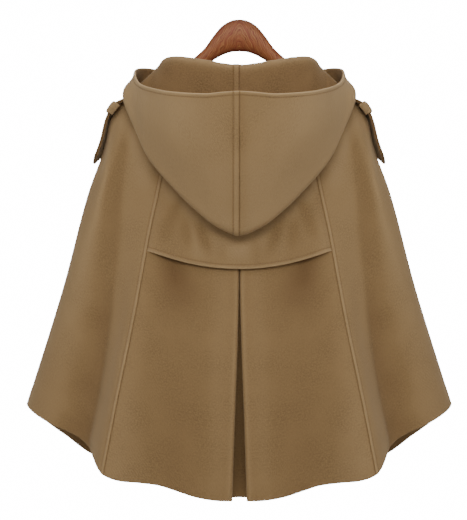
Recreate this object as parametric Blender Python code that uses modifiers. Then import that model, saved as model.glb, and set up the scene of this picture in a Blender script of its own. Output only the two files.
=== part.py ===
"""Hooded wool cape coat hanging on a wooden hanger.

The origin is the top of the hanger's neck, where its hook would stand. The wearer faces +Y, so
the coat's back faces -Y, and +X is the wearer's right. Sizes are millimetres in the tables and
functions, and become metres where a mesh is made.

The cape is one flared tube from the neck seam to the hem. A place on it is an angle and a level:
the angle is 0 at the centre back, 90 on the shoulder line and 180 at the centre front, and the
level is 0 at the neck seam and 1 at the hem. Every panel is cut from that one surface.
"""

import math

import bpy
import numpy as np

MM = 0.001
CLOTH = 3.0
SEAM_GAP = 0.3
LAYER_GAP = 0.6

# The rings of the cape, from the neck seam over the shoulders to the hem
RING_FIELDS = ("level", "half_width", "back_depth", "front_depth", "back_z", "side_z", "front_z")
RINGS = (
    (0.000, 92.0, 52.0, 58.0, -100.0, -72.5, -150.0),
    (0.055, 120.0, 56.0, 62.0, -138.0, -91.3, -185.0),
    (0.123, 155.0, 60.0, 66.0, -181.0, -113.6, -226.0),
    (0.186, 185.0, 64.0, 70.0, -222.0, -138.0, -262.0),
    (0.229, 199.5, 67.0, 73.0, -249.0, -160.5, -288.0),
    (0.293, 211.0, 72.0, 77.0, -290.0, -199.0, -325.0),
    (0.434, 241.0, 85.0, 89.0, -381.0, -280.0, -409.0),
    (0.661, 277.0, 106.0, 107.0, -528.0, -416.0, -544.0),
    (0.818, 305.0, 118.0, 116.0, -630.0, -509.0, -637.0),
    (1.000, 339.0, 128.0, 124.0, -748.0, -616.0, -745.0),
)

# Soft folds: where each crest or hollow lies, how far it spreads towards the back and towards
# the front in degrees, its height at full size, and the levels where it starts, is full and ends
FOLD_FIELDS = ("angle", "spread_back", "spread_front", "height", "start", "full", "end")
FOLDS = (
    (0.0, 7.0, 7.0, 7.0, 0.42, 1.00, 9.0),
    (15.0, 8.0, 8.0, -9.0, 0.40, 1.05, 9.0),
    (35.0, 9.5, 6.0, 45.0, 0.30, 1.10, 9.0),
    (49.0, 7.0, 9.0, -11.0, 0.22, 0.90, 9.0),
    (66.0, 6.0, 8.0, 7.0, 0.18, 0.30, 0.62),
    (104.0, 9.0, 10.0, 7.0, 0.12, 0.20, 0.50),
    (118.0, 10.0, 9.0, -8.0, 0.30, 0.95, 9.0),
    (143.0, 7.0, 9.0, 26.0, 0.30, 1.10, 9.0),
    (162.0, 8.0, 8.0, -7.0, 0.35, 1.00, 9.0),
)

# How much lower than its ring the hem hangs at each angle
HEM_FIELDS = ("angle", "drop")
HEM_DROPS = (
    (0.0, 2.0), (6.0, 4.5), (12.0, 4.5), (17.0, 1.0), (21.0, -1.5), (26.0, 1.0), (31.0, 5.5),
    (35.5, 4.5), (40.0, -5.5), (44.0, -10.0), (49.0, -12.5), (54.0, -10.5), (60.0, -7.0),
    (68.0, -3.0), (78.0, 0.0), (98.0, 1.0), (108.0, 6.0), (116.0, 4.5), (124.0, 0.5),
    (134.0, 1.5), (150.0, 0.0), (180.0, 0.0),
)
HEM_FROM = 0.8

BACK_SEAM = 35.0
SHOULDER_SEAM = 90.0
FRONT_SEAM = 145.0
CENTRE_FRONT = 180.0

LEVELS = (0.0, 0.04, 0.08, 0.123, 0.155, 0.186, 0.208, 0.229, 0.261, 0.3, 0.35, 0.41,
          0.48, 0.56, 0.64, 0.72, 0.8, 0.87, 0.935, 1.0)
YOKE_LEVEL = 0.42
LOWER_LEVELS = (0.42, 0.445, 0.5, 0.56, 0.64, 0.72, 0.8, 0.87, 0.935, 1.0)
YOKE_LEVELS = (0.0, 0.055, 0.123, 0.186, 0.229, 0.293, 0.355, 0.42)
BACK_COLUMNS = 8
SIDE_BACK_COLUMNS = 11
SIDE_FRONT_COLUMNS = 8
FRONT_COLUMNS = 4

# Storm flap over the yoke, sewn in at the neck and at both back seams, free at its lower edge
FLAP_LEVELS = (0.003, 0.055, 0.123, 0.186, 0.229, 0.293, 0.355, 0.41, 0.463)
FLAP_END_DROP = 0.008
FLAP_STAND = 3.5
FLAP_FREE_FROM = 0.15

# Inverted pleat at the centre back, closed under the flap and opening to the hem
PLEAT_OPEN = 11.5
PLEAT_CLOSED = 0.3
PLEAT_DEPTH = 62.0
PLEAT_TURN = 2.4
PLEAT_FALL_BACK = 34.0
PLEAT_FOLD_STEPS = 3
PLEAT_UNDER_STEPS = 3

# The fronts lap at the centre front and are held by four buttons
LAP_PLACES = (46.0, 34.0, 17.0, 0.0, -14.0, -28.0)
BUTTON_LEVELS = (0.10, 0.29, 0.48, 0.67)
BUTTON_DIAMETER = 28.0
BUTTON_THICKNESS = 4.6
BUTTON_HOLE = 2.4
BUTTON_HOLE_SPACING = 6.4

# The hood lies on the back as an open pouch. One row for each section from the centre back to
# the centre front: where it leaves the neck seam, its roll over the neck, the fold at the bottom
# of the pouch, its free edge, how far the pouch's two layers stand apart, and the outward swell
# of the outer layer
HOOD_FIELDS = ("neck_angle", "roll_x", "roll_y", "roll_z", "fold_x", "fold_y", "fold_z",
               "edge_x", "edge_y", "edge_z", "pouch", "swell")
HOOD_SECTIONS = (
    (0, 0, -68, -81.5, 0, -106, -346.5, 0, -160, -131.5, 24, 12),
    (12, 25, -67.5, -79, 24, -105.5, -338.5, 26, -159.5, -133, 24, 12),
    (25, 50, -64.5, -74, 48, -104, -324, 53, -157, -135, 24, 12),
    (50, 90, -50, -67, 98, -92, -277, 104, -134, -129.5, 22, 10),
    (68, 109, -34, -65, 140, -74, -226.5, 133, -102, -121, 20, 7),
    (80, 118, -19, -66.5, 161, -58, -182, 151, -70, -112, 17, 4),
    (90, 120, -6, -67.5, 181.5, -36, -133, 161, -38, -100, 14, -1),
    (96, 119, 2, -69, 178.0, -17, -116.2, 165, -10, -84, 12, -2.5),
    (102, 117, 10, -71, 170.5, 4, -109, 161, 14, -76.5, 12, -2),
    (112, 110, 22, -77, 164, 27, -112, 144, 37, -74, 12, 0),
    (125, 95, 38, -90, 134, 48, -116, 118, 54, -78, 11, 0),
    (145, 66, 55, -113, 100, 66, -132, 84, 70, -98, 10, 0),
    (168, 25, 64, -136, 38, 72, -154, 33, 78, -132, 9, 0),
)
HOOD_ROLL = 6.0
HOOD_PLACES = (0, 8, 16, 25, 34, 43, 52, 61, 69, 76, 82, 87, 91, 95, 99, 104, 110, 118, 128,
               140, 154, 168)
HOOD_STEPS = (1, 2, 1, 2, 2, 1, 1, 1, 1, 2, 3)
NECK_GAP = 0.5

# Epaulettes: at each level of the shoulder line, the height of the strap's middle above the cloth
# and how much its back edge stands up and its front edge lies down
STRAP_WIDTH = 36.0
STRAP_THICKNESS = 4.6
STRAP_FIELDS = ("level", "height", "lean")
STRAP_ROWS = (
    (0.062, 0.8, 0.0),
    (0.100, 0.8, 0.0),
    (0.140, 1.2, 0.0),
    (0.170, 3.0, 0.0),
    (0.193, 8.2, 0.4),
    (0.207, 9.2, 0.8),
    (0.225, 8.4, 1.8),
    (0.255, 7.2, 2.8),
    (0.290, 6.2, 3.2),
    (0.330, 6.0, 3.0),
)
STRAP_LEVELS = (0.062, 0.082, 0.1, 0.12, 0.14, 0.157, 0.17, 0.182, 0.193, 0.207, 0.221, 0.237,
                0.255, 0.28, 0.305, 0.33)
STRAP_BEND_RADIUS = 48.0
STRAP_POINT = 15.0
KEEPER_LEVELS = (0.192, 0.2065, 0.221)
KEEPER_WALL = 3.2
KEEPER_CLEAR = 0.8
KEEPER_CORNER = 0.4

# Wooden hanger: top and bottom line and thickness at each station from the middle to the tip
HANGER_FIELDS = ("x", "top", "bottom", "thickness")
HANGER_ROWS = (
    (0.0, 0.0, -51.5, 15.0),
    (12.0, -1.8, -52.5, 15.0),
    (27.0, -10.2, -57.5, 15.0),
    (41.0, -26.0, -65.5, 15.0),
    (55.0, -45.5, -75.5, 15.0),
    (72.0, -61.5, -87.5, 16.0),
    (92.0, -77.8, -102.0, 16.0),
    (120.0, -96.9, -120.0, 16.0),
    (155.0, -119.8, -141.0, 17.0),
    (178.0, -138.4, -155.0, 17.0),
    (190.0, -152.0, -161.0, 12.0),
)
HANGER_SIDES = 12
HANGER_SQUARENESS = 2.1
HANGER_FINE_WITHIN = 75.0

WOOL = {"color": (0.285, 0.175, 0.085, 1.0), "roughness": 0.95}
WOOD = {"color": (0.25, 0.06, 0.02, 1.0), "roughness": 0.35}
HORN = {"color": (0.05, 0.022, 0.01, 1.0), "roughness": 0.3}


def cubic_between(places, values, place):
    """The value at a place on the smooth curve through the values."""
    places = np.asarray(places, float)
    values = np.asarray(values, float)
    steps = np.concatenate([places[1:2] - places[:1], places[2:] - places[:-2],
                            places[-1:] - places[-2:-1]])
    rises = np.concatenate([values[1:2] - values[:1], values[2:] - values[:-2],
                            values[-1:] - values[-2:-1]])
    slopes = rises / steps[:, None]
    index = int(np.clip(np.searchsorted(places, place) - 1, 0, len(places) - 2))
    width = places[index + 1] - places[index]
    t = (place - places[index]) / width
    return (
        (2 * t**3 - 3 * t**2 + 1) * values[index]
        + (t**3 - 2 * t**2 + t) * width * slopes[index]
        + (3 * t**2 - 2 * t**3) * values[index + 1]
        + (t**3 - t**2) * width * slopes[index + 1]
    )


def row_at(fields, rows, place):
    """All the fields of a table at a place between its rows, by name."""
    table = np.asarray(rows, float)
    found = cubic_between(table[:, 0], table[:, 1:], place)
    return dict(zip(fields[1:], found))


def ease(t):
    """A smooth step from 0 to 1."""
    t = min(1.0, max(0.0, t))
    return t * t * (3 - 2 * t)


def folds_at(angle, level):
    """How far the soft folds push the cloth out at a place."""
    angle = min(abs(angle), 360 - abs(angle))
    height = 0.0
    for row in FOLDS:
        fold = dict(zip(FOLD_FIELDS, row))
        away = angle - fold["angle"]
        spread = fold["spread_front"] if away > 0 else fold["spread_back"]
        grown = ease((level - fold["start"]) / (fold["full"] - fold["start"]))
        if fold["end"] <= 1:
            grown *= 1 - ease((level - fold["full"]) / (fold["end"] - fold["full"]))
        height += fold["height"] * grown * math.exp(-((away / spread) ** 2))
    return height


def cape_surface(angle, level):
    """A point of the cape's outside, on the wearer's right half."""
    ring = row_at(RING_FIELDS, RINGS, level)
    turn = math.radians(angle)
    sine, cosine = math.sin(turn), math.cos(turn)
    back = cosine > 0
    depth = ring["back_depth"] if back else ring["front_depth"]
    low_z = ring["back_z"] if back else ring["front_z"]
    share = cosine**2 if back else math.sin(math.pi / 2 * cosine**2)
    out = np.array([sine / ring["half_width"], -cosine / depth, 0.0])
    out /= np.linalg.norm(out)
    drop = row_at(HEM_FIELDS, HEM_DROPS, angle)["drop"] * ease((level - HEM_FROM) / (1 - HEM_FROM))
    base = np.array([
        ring["half_width"] * sine,
        -depth * cosine,
        ring["side_z"] + (low_z - ring["side_z"]) * share - drop,
    ])
    return base + out * folds_at(angle, level)


def cape_frame(angle, level):
    """The outward normal, and the millimetres for each degree and for each whole level."""
    turn, rise = 0.05, 0.0005
    above, below = max(0.0, level - rise), min(1.0, level + rise)
    across = (cape_surface(angle + turn, level) - cape_surface(angle - turn, level)) / (2 * turn)
    down = (cape_surface(angle, below) - cape_surface(angle, above)) / (below - above)
    normal = np.cross(down, across)
    return normal / np.linalg.norm(normal), np.linalg.norm(across), np.linalg.norm(down)


def cape_point(side, angle, level, out=0.0):
    """A point moved out from the cape's outside. side is 1 on the wearer's right, -1 on the left."""
    point = cape_surface(angle, level)
    if out:
        point = point + cape_frame(angle, level)[0] * out
    return point * np.array([side, 1.0, 1.0])


def angle_at_x(x, level, front):
    """The angle of the place that lies x from the centre back or the centre front."""
    half_width = row_at(RING_FIELDS, RINGS, level)["half_width"]
    turn = math.degrees(math.asin(x / half_width))
    return CENTRE_FRONT - turn if front else turn


def beside_seam(angle, level, direction):
    """The angle of a panel's edge, half a seam gap from the seam."""
    return angle + direction * SEAM_GAP / 2 / cape_frame(angle, level)[1]


def material_of(name, look):
    """A plain principled material."""
    material = bpy.data.materials.new(name)
    material.use_nodes = True
    shader = material.node_tree.nodes["Principled BSDF"]
    shader.inputs["Base Color"].default_value = look["color"]
    shader.inputs["Roughness"].default_value = look["roughness"]
    shader.inputs["Metallic"].default_value = 0.0
    material.diffuse_color = look["color"]
    return material


def add_mesh(name, points, faces, collection, material):
    """A mesh object from points in millimetres."""
    mesh = bpy.data.meshes.new(name)
    mesh.from_pydata([tuple(np.asarray(point) * MM) for point in points], [], faces)
    mesh.validate()
    mesh.materials.append(material)
    mesh.shade_smooth()
    mesh.set_sharp_from_angle(angle=math.radians(40))
    made = bpy.data.objects.new(name, mesh)
    collection.objects.link(made)
    return made


def wall(name, outside, inside, collection, material):
    """A closed cloth wall between two grids of points that have the same rows and columns."""
    outside, inside = np.asarray(outside, float), np.asarray(inside, float)
    rows, columns = outside.shape[:2]
    edge_a = np.cross(outside[1, 0] - outside[0, 0], outside[0, 1] - outside[0, 0])
    flipped = np.dot(edge_a, outside[0, 0] - inside[0, 0]) < 0
    points = np.concatenate([outside.reshape(-1, 3), inside.reshape(-1, 3)])
    under = rows * columns

    def at(row, column, layer=0):
        return layer * under + row * columns + column

    faces = []
    for row in range(rows - 1):
        for column in range(columns - 1):
            corners = [(row, column), (row + 1, column), (row + 1, column + 1), (row, column + 1)]
            faces.append([at(r, c) for r, c in corners])
            faces.append([at(r, c, 1) for r, c in corners[:1] + corners[:0:-1]])
    round_it = (
        [(0, c) for c in range(columns)]
        + [(r, columns - 1) for r in range(1, rows)]
        + [(rows - 1, c) for c in range(columns - 2, -1, -1)]
        + [(r, 0) for r in range(rows - 2, 0, -1)]
    )
    for here, there in zip(round_it, round_it[1:] + round_it[:1]):
        faces.append([at(*here), at(*there), at(*there, 1), at(*here, 1)])
    if flipped:
        faces = [face[:1] + face[:0:-1] for face in faces]
    return add_mesh(name, points, faces, collection, material)


def cape_panel(name, side, angles_at, levels, collection, material, lift=None):
    """A panel of the cape. angles_at gives a level's angles; lift moves the cloth out."""
    outside, inside = [], []
    for level in levels:
        angles = angles_at(level)
        heights = [lift(angle, level) if lift else 0.0 for angle in angles]
        outside.append([cape_point(side, a, level, h) for a, h in zip(angles, heights)])
        inside.append([cape_point(side, a, level, h - CLOTH) for a, h in zip(angles, heights)])
    return wall(name, outside, inside, collection, material)


def between_seams(first, last, columns):
    """A function that gives the angles of a panel between two seams, a half gap from each."""

    def angles_at(level):
        start = beside_seam(first, level, 1)
        end = beside_seam(last, level, -1)
        return np.linspace(start, end, columns + 1)

    return angles_at


def half_pleat_gap(level):
    """Half the width of the open pleat."""
    share = ease((level - YOKE_LEVEL) / (1.15 - YOKE_LEVEL)) / ease(1 / 1.25)
    return PLEAT_CLOSED + (PLEAT_OPEN - PLEAT_CLOSED) * min(1.0, share)


def pleat_fall(level):
    """How far the underlay falls back into the coat, from nothing at the yoke to all at the hem."""
    return PLEAT_FALL_BACK * ease((level - YOKE_LEVEL) / (1 - YOKE_LEVEL))


def pleat_steps(level):
    """Distances from the centre back across the turned-under cloth."""
    edge = half_pleat_gap(level)
    return np.linspace(edge, edge + PLEAT_DEPTH, PLEAT_UNDER_STEPS + 1)


def back_half_angles(level, last_angle=None):
    """Angles across half the back, from its seam to the centre."""
    end = angle_at_x(half_pleat_gap(level) + PLEAT_TURN + CLOTH / 2, level, False)
    if last_angle is not None:
        end = last_angle
    return np.linspace(beside_seam(BACK_SEAM, level, -1), end, BACK_COLUMNS + 1)


def lower_levels():
    """Levels of the pleated back, which starts half a seam gap below the yoke."""
    down = cape_frame(10.0, YOKE_LEVEL)[2]
    return [YOKE_LEVEL + SEAM_GAP / 2 / down, *LOWER_LEVELS[1:]]


def pleated_back(name, side, collection, material):
    """Half the lower back. Its centre edge turns under and lies flat behind the panel."""
    outside, inside = [], []
    for level in lower_levels():
        angles = back_half_angles(level)
        outer_row = [cape_point(side, a, level) for a in angles]
        inner_row = [cape_point(side, a, level, -CLOTH) for a in angles]
        normal = cape_frame(angles[-1], level)[0] * np.array([side, 1, 1])
        towards_centre = np.array([-side, 0.0, 0.0])
        pivot = outer_row[-1] - normal * (CLOTH / 2 + PLEAT_TURN)
        for step in range(1, PLEAT_FOLD_STEPS):
            turn = math.pi * step / PLEAT_FOLD_STEPS
            ray = normal * math.cos(turn) + towards_centre * math.sin(turn)
            outer_row.append(pivot + ray * (PLEAT_TURN + CLOTH / 2))
            inner_row.append(pivot + ray * (PLEAT_TURN - CLOTH / 2))
        under_angles = [angles[-1]]
        under_angles += [angle_at_x(x, level, False) for x in pleat_steps(level)[1:]]
        falls = np.linspace(0.0, pleat_fall(level), len(under_angles))
        depth = 2 * PLEAT_TURN + CLOTH
        for angle, fall in zip(under_angles, falls):
            back = np.array([0.0, fall, 0.0])
            outer_row.append(cape_point(side, angle, level, -depth) + back)
            inner_row.append(cape_point(side, angle, level, CLOTH - depth) + back)
        outside.append(outer_row)
        inside.append(inner_row)
    return wall(name, outside, inside, collection, material)


def pleat_underlay(collection, material):
    """The strip behind the pleat, sewn to both turned-under edges."""
    outside, inside = [], []
    for level in lower_levels():
        depth = 2 * PLEAT_TURN + CLOTH + LAYER_GAP
        back = np.array([0.0, pleat_fall(level), 0.0])
        reach = pleat_steps(level)
        reach[0] = half_pleat_gap(level) + PLEAT_TURN + CLOTH / 2
        half = [angle_at_x(x, level, False) for x in reach]
        places = [(-1, a) for a in reversed(half)] + [(1, 0.0)] + [(1, a) for a in half]
        outside.append([cape_point(side, a, level, -depth) + back for side, a in places])
        inside.append([cape_point(side, a, level, -depth - CLOTH) + back for side, a in places])
    return wall("pleat_underlay", outside, inside, collection, material)


def whole_back_angles(level):
    """Signed angles across the whole back, from the left back seam to the right one."""
    half = back_half_angles(level, 0.0)
    return np.concatenate([-half, half[-2::-1]])


def back_yoke(collection, material):
    """The upper back between the seams, from the neck to the top of the pleated panels."""
    down = cape_frame(10.0, YOKE_LEVEL)[2]
    levels = [*YOKE_LEVELS[:-1], YOKE_LEVEL - SEAM_GAP / 2 / down]
    return cape_panel("back_yoke", 1, whole_back_angles, levels, collection, material)


def flap_level(angle, level):
    """The flap's lower edge is a little flatter than the rings of the cape."""
    share = level / FLAP_LEVELS[-1]
    return level + FLAP_END_DROP * share**2 * (angle / BACK_SEAM) ** 2


def flap_height(angle, level):
    """How far the flap's outside stands off the back."""
    loose = ease((level - FLAP_FREE_FROM) / (FLAP_LEVELS[-1] - FLAP_FREE_FROM))
    return LAYER_GAP + CLOTH + FLAP_STAND * loose * (1 - (angle / BACK_SEAM) ** 4)


def storm_flap(collection, material):
    """The loose second layer of the upper back."""
    outside, inside = [], []
    for level in FLAP_LEVELS:
        outer_row, inner_row = [], []
        for angle in whole_back_angles(level):
            at = flap_level(angle, level)
            height = flap_height(angle, level)
            outer_row.append(cape_point(1, angle, at, height))
            inner_row.append(cape_point(1, angle, at, height - CLOTH))
        outside.append(outer_row)
        inside.append(inner_row)
    return wall("storm_flap", outside, inside, collection, material)


def front_angles(level):
    """Angles across a front: even from its seam, then closer together at the lap."""
    laps = [angle_at_x(x, level, True) for x in LAP_PLACES]
    start = beside_seam(FRONT_SEAM, level, 1)
    return [*np.linspace(start, laps[0], FRONT_COLUMNS + 1), *laps[1:]]


def lap_height(angle, level):
    """The upper front steps over the lower one at the centre front."""
    half_width = row_at(RING_FIELDS, RINGS, level)["half_width"]
    x = half_width * math.sin(math.radians(angle))
    return (CLOTH + LAYER_GAP) * ease((LAP_PLACES[0] - x) / (LAP_PLACES[0] - LAP_PLACES[1]))


def hood_row(place):
    """The hood's measurements at a neck angle. The table is mirrored over the centre back."""
    over_the_middle = np.array([-1, -1, 1, 1, -1, 1, 1, -1, 1, 1, 1, 1])
    rows = [over_the_middle * HOOD_SECTIONS[1], *HOOD_SECTIONS]
    return row_at(HOOD_FIELDS, rows, place)


def neck_foot(place):
    """The hood's foot on the neck seam, with the cape's directions out and down there."""
    seam = cape_surface(place, 0.0)
    out = cape_frame(place, 0.0)[0]
    down = cape_surface(place, 0.002) - seam
    down /= np.linalg.norm(down)
    return seam - out * CLOTH / 2 - down * NECK_GAP, out, down


def hood_section(place):
    """Points that one section of the hood passes through, from the neck seam to its free edge."""
    row = hood_row(place)
    roll = np.array([row["roll_x"], row["roll_y"], row["roll_z"]])
    fold = np.array([row["fold_x"], row["fold_y"], row["fold_z"]])
    edge = np.array([row["edge_x"], row["edge_y"], row["edge_z"]])
    foot, _, down = neck_foot(place)
    stand = foot - down * 3.0 + np.array([0.0, 0.0, 5.0])
    away = roll - foot
    away[2] = 0.0
    away /= np.linalg.norm(away)
    over = roll + away * HOOD_ROLL - np.array([0.0, 0.0, HOOD_ROLL])
    up = (over + edge) / 2 - fold
    up /= np.linalg.norm(up)
    across = edge - over
    across -= up * np.dot(across, up)
    across /= np.linalg.norm(across)
    half = row["pouch"] / 2
    bend = half * math.sqrt(0.5)
    centre = fold + up * half
    inner_side, outer_side = centre - across * half, centre + across * half
    inner_bend = centre - (across + up) * bend
    outer_bend = centre + (across - up) * bend
    inner_middle = (over + inner_side) / 2
    outer_middle = (outer_side + edge) / 2 + across * row["swell"]
    return [foot, stand, roll, over, inner_middle, inner_side, inner_bend, fold,
            outer_bend, outer_side, outer_middle, edge]


def hood_line(place):
    """Points along one section of the hood, closer together at its bends."""
    knots = np.array(hood_section(place))
    along = np.concatenate([[0.0], np.cumsum(np.linalg.norm(np.diff(knots, axis=0), axis=1))])
    stops = [along[0]]
    for index, steps in enumerate(HOOD_STEPS):
        stops += list(np.linspace(along[index], along[index + 1], steps + 1)[1:])
    return np.array([cubic_between(along, knots, stop) for stop in stops])


def hood_half(name, side, collection, material):
    """Half the hood, from the centre seam to its front end at the neck."""
    middle = np.array([hood_line(place) for place in HOOD_PLACES])
    across = np.gradient(middle, axis=0)
    along = np.gradient(middle, axis=1)
    normals = np.cross(along, across)
    normals[0, :, 0] = 0.0
    normals /= np.linalg.norm(normals, axis=2, keepdims=True)
    for index, place in enumerate(HOOD_PLACES):
        out = neck_foot(place)[1]
        normals[index, 0] = out * np.sign(np.dot(out, normals[index, 0]))
    middle[0, :, 0] = SEAM_GAP / 2
    mirror = np.array([side, 1.0, 1.0])
    outside = (middle + normals * CLOTH / 2) * mirror
    inside = (middle - normals * CLOTH / 2) * mirror
    return wall(name, outside, inside, collection, material)


def strap_frame(side, level):
    """A point on the shoulder line, the directions out of the cloth and along it, and the lean."""
    row = row_at(STRAP_FIELDS, STRAP_ROWS, level)
    normal = cape_frame(SHOULDER_SEAM, level)[0]
    normal[1] = 0.0
    normal /= np.linalg.norm(normal)
    centre = cape_surface(SHOULDER_SEAM, level) + normal * row["height"]
    along = np.array([normal[2], 0.0, -normal[0]])
    mirror = np.array([side, 1.0, 1.0])
    return centre * mirror, normal * mirror, along * mirror, row["lean"]


def across_strap(frame, y, height):
    """A point y millimetres beside a strap's middle, which bends down towards its sides."""
    centre, normal, _, lean = frame
    rise = height - y * y / (2 * STRAP_BEND_RADIUS) - lean * y * 2 / STRAP_WIDTH
    return centre + normal * rise + np.array([0.0, y, 0.0])


def epaulette(name, side, collection, material):
    """A double-cloth strap along the shoulder, with a pointed end that hangs free."""
    places = (-1.0, -0.5, 0.0, 0.5, 1.0)
    outside, inside = [], []
    for level in STRAP_LEVELS:
        frame = strap_frame(side, level)
        last = level == STRAP_LEVELS[-1]
        outer_row, inner_row = [], []
        for place in places:
            pointed = frame[2] * STRAP_POINT * (1 - abs(place)) if last else 0.0
            y = place * STRAP_WIDTH / 2
            outer_row.append(across_strap(frame, y, STRAP_THICKNESS) + pointed)
            inner_row.append(across_strap(frame, y, 0.0) + pointed)
        outside.append(outer_row)
        inside.append(inner_row)
    return wall(name, outside, inside, collection, material)


def loop_round_strap(side, level, clear):
    """A ring of points round the strap, a clear distance from it."""
    frame = strap_frame(side, level)
    half = STRAP_WIDTH / 2
    across = (-half - clear, -half, -half / 2, 0.0, half / 2, half, half + clear)
    corner = clear * KEEPER_CORNER
    over = [STRAP_THICKNESS + clear for _ in across]
    over[0] = over[-1] = STRAP_THICKNESS + clear - corner
    under = [-clear for _ in across]
    under[0] = under[-1] = corner - clear
    ring = [across_strap(frame, y, height) for y, height in zip(across, over)]
    ring += [across_strap(frame, y, height) for y, height in zip(across[::-1], under)]
    return ring


def keeper(name, side, collection, material):
    """The cloth loop that the epaulette passes through."""
    outer = [loop_round_strap(side, level, KEEPER_CLEAR + KEEPER_WALL) for level in KEEPER_LEVELS]
    inner = [loop_round_strap(side, level, KEEPER_CLEAR) for level in KEEPER_LEVELS]
    return ring_loft(name, outer + inner[::-1], True, collection, material)


def ring_loft(name, rings, closed, collection, material):
    """A solid through rings of points: a closed loop of rings, or a run with its ends capped."""
    count = len(rings[0])
    points = [point for ring in rings for point in ring]
    faces = []
    for index in range(len(rings) if closed else len(rings) - 1):
        here, there = index * count, (index + 1) % len(rings) * count
        for k in range(count):
            nxt = (k + 1) % count
            faces.append([here + k, here + nxt, there + nxt, there + k])
    if not closed:
        faces.append(list(range(count))[::-1])
        faces.append([(len(rings) - 1) * count + k for k in range(count)])
    made = add_mesh(name, points, faces, collection, material)
    return face_outwards(made)


def face_outwards(made):
    """Turns a closed mesh's faces so that they point out."""
    mesh = made.data
    mesh.calc_loop_triangles()
    corners = np.array([[mesh.vertices[v].co for v in t.vertices] for t in mesh.loop_triangles])
    volume = np.einsum("ij,ij->i", corners[:, 0], np.cross(corners[:, 1], corners[:, 2])).sum()
    if volume < 0:
        mesh.flip_normals()
    return made


def hanger_ring(x):
    """One rounded section of the hanger."""
    row = row_at(HANGER_FIELDS, HANGER_ROWS, abs(x))
    middle, half = (row["top"] + row["bottom"]) / 2, (row["top"] - row["bottom"]) / 2
    power = 2 / HANGER_SQUARENESS
    ring = []
    for index in range(HANGER_SIDES):
        turn = 2 * math.pi * (index + 0.5) / HANGER_SIDES
        y = math.copysign(abs(math.cos(turn)) ** power, math.cos(turn)) * row["thickness"] / 2
        z = math.copysign(abs(math.sin(turn)) ** power, math.sin(turn)) * half
        ring.append(np.array([x, y, middle + z]))
    top = max(point[2] for point in ring)
    return [point + np.array([0.0, 0.0, row["top"] - top]) for point in ring]


def hanger(collection, material):
    """A shaped wooden coat hanger: a high neck in the middle and two sloping arms."""
    stations = [row[0] for row in HANGER_ROWS]
    stations = [-x for x in stations[:0:-1]] + stations
    between = [(left + right) / 2 for left, right in zip(stations, stations[1:])]
    stations = sorted(stations + [x for x in between if abs(x) < HANGER_FINE_WITHIN])
    return ring_loft("hanger", [hanger_ring(x) for x in stations], False, collection, material)


def button_profile():
    """Radius and height pairs of a button with a raised rim, from its top's middle to its back."""
    radius, top = BUTTON_DIAMETER / 2, BUTTON_THICKNESS
    return (
        (0.0, top - 1.6),
        (radius * 0.62, top - 1.6),
        (radius * 0.74, top),
        (radius * 0.92, top),
        (radius, top * 0.5),
        (radius * 0.8, 0.0),
        (0.0, 0.0),
    )


def button(number, level, collection, cutters, material):
    """A four-hole button on the upper front."""
    lift = CLOTH + LAYER_GAP
    seat = cape_point(1, CENTRE_FRONT, level, lift + SEAM_GAP) * MM
    normal, _, _ = cape_frame(CENTRE_FRONT, level)
    mesh = bpy.data.meshes.new(f"button_{number}")
    profile = button_profile()
    points = [(radius * MM, 0.0, height * MM) for radius, height in profile]
    mesh.from_pydata(points, [(i, i + 1) for i in range(len(points) - 1)], [])
    mesh.materials.append(material)
    made = bpy.data.objects.new(f"button_{number}", mesh)
    collection.objects.link(made)
    made.location = seat
    made.rotation_euler = (-math.atan2(normal[1], normal[2]), 0.0, 0.0)
    screw = made.modifiers.new("turned", "SCREW")
    screw.axis = "Z"
    screw.steps = screw.render_steps = 16
    screw.use_merge_vertices = True
    screw.merge_threshold = 0.00001
    screw.use_normal_calculate = True
    screw.use_smooth_shade = True
    for index in range(4):
        turn = math.radians(45 + 90 * index)
        reach = BUTTON_HOLE_SPACING / math.sqrt(2) * MM
        bpy.ops.mesh.primitive_cylinder_add(
            vertices=6, radius=BUTTON_HOLE / 2 * MM, depth=4 * BUTTON_THICKNESS * MM
        )
        cutter = bpy.context.object
        cutter.name = f"button_{number}_hole_{index + 1}"
        for owner in list(cutter.users_collection):
            owner.objects.unlink(cutter)
        cutters.objects.link(cutter)
        cutter.parent = made
        cutter.location = (reach * math.cos(turn), reach * math.sin(turn), 0.0)
        cutter.hide_render = True
        cutter.display_type = "WIRE"
        cut = made.modifiers.new(f"hole_{index + 1}", "BOOLEAN")
        cut.object = cutter
    return made


def new_collection(name):
    """A collection in the scene."""
    made = bpy.data.collections.new(name)
    bpy.context.scene.collection.children.link(made)
    return made


def main():
    for old in list(bpy.data.objects):
        bpy.data.objects.remove(old)
    coat = new_collection("cape_coat")
    cutters = new_collection("cutters")
    wool = material_of("camel_wool", WOOL)
    wood = material_of("red_brown_wood", WOOD)
    horn = material_of("dark_horn", HORN)

    hanger(coat, wood)
    back_yoke(coat, wool)
    storm_flap(coat, wool)
    pleat_underlay(coat, wool)
    side_back = between_seams(BACK_SEAM, SHOULDER_SEAM, SIDE_BACK_COLUMNS)
    side_front = between_seams(SHOULDER_SEAM, FRONT_SEAM, SIDE_FRONT_COLUMNS)
    for hand, side in (("left", -1), ("right", 1)):
        pleated_back(f"back_{hand}", side, coat, wool)
        cape_panel(f"side_back_{hand}", side, side_back, LEVELS, coat, wool)
        cape_panel(f"side_front_{hand}", side, side_front, LEVELS, coat, wool)
        hood_half(f"hood_{hand}", side, coat, wool)
        epaulette(f"epaulette_{hand}", side, coat, wool)
        keeper(f"keeper_{hand}", side, coat, wool)

    cape_panel("front_left", -1, front_angles, LEVELS, coat, wool)
    cape_panel("front_right", 1, front_angles, LEVELS, coat, wool, lap_height)
    for number, level in enumerate(BUTTON_LEVELS, 1):
        button(number, level, coat, cutters, horn)


main()
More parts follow.
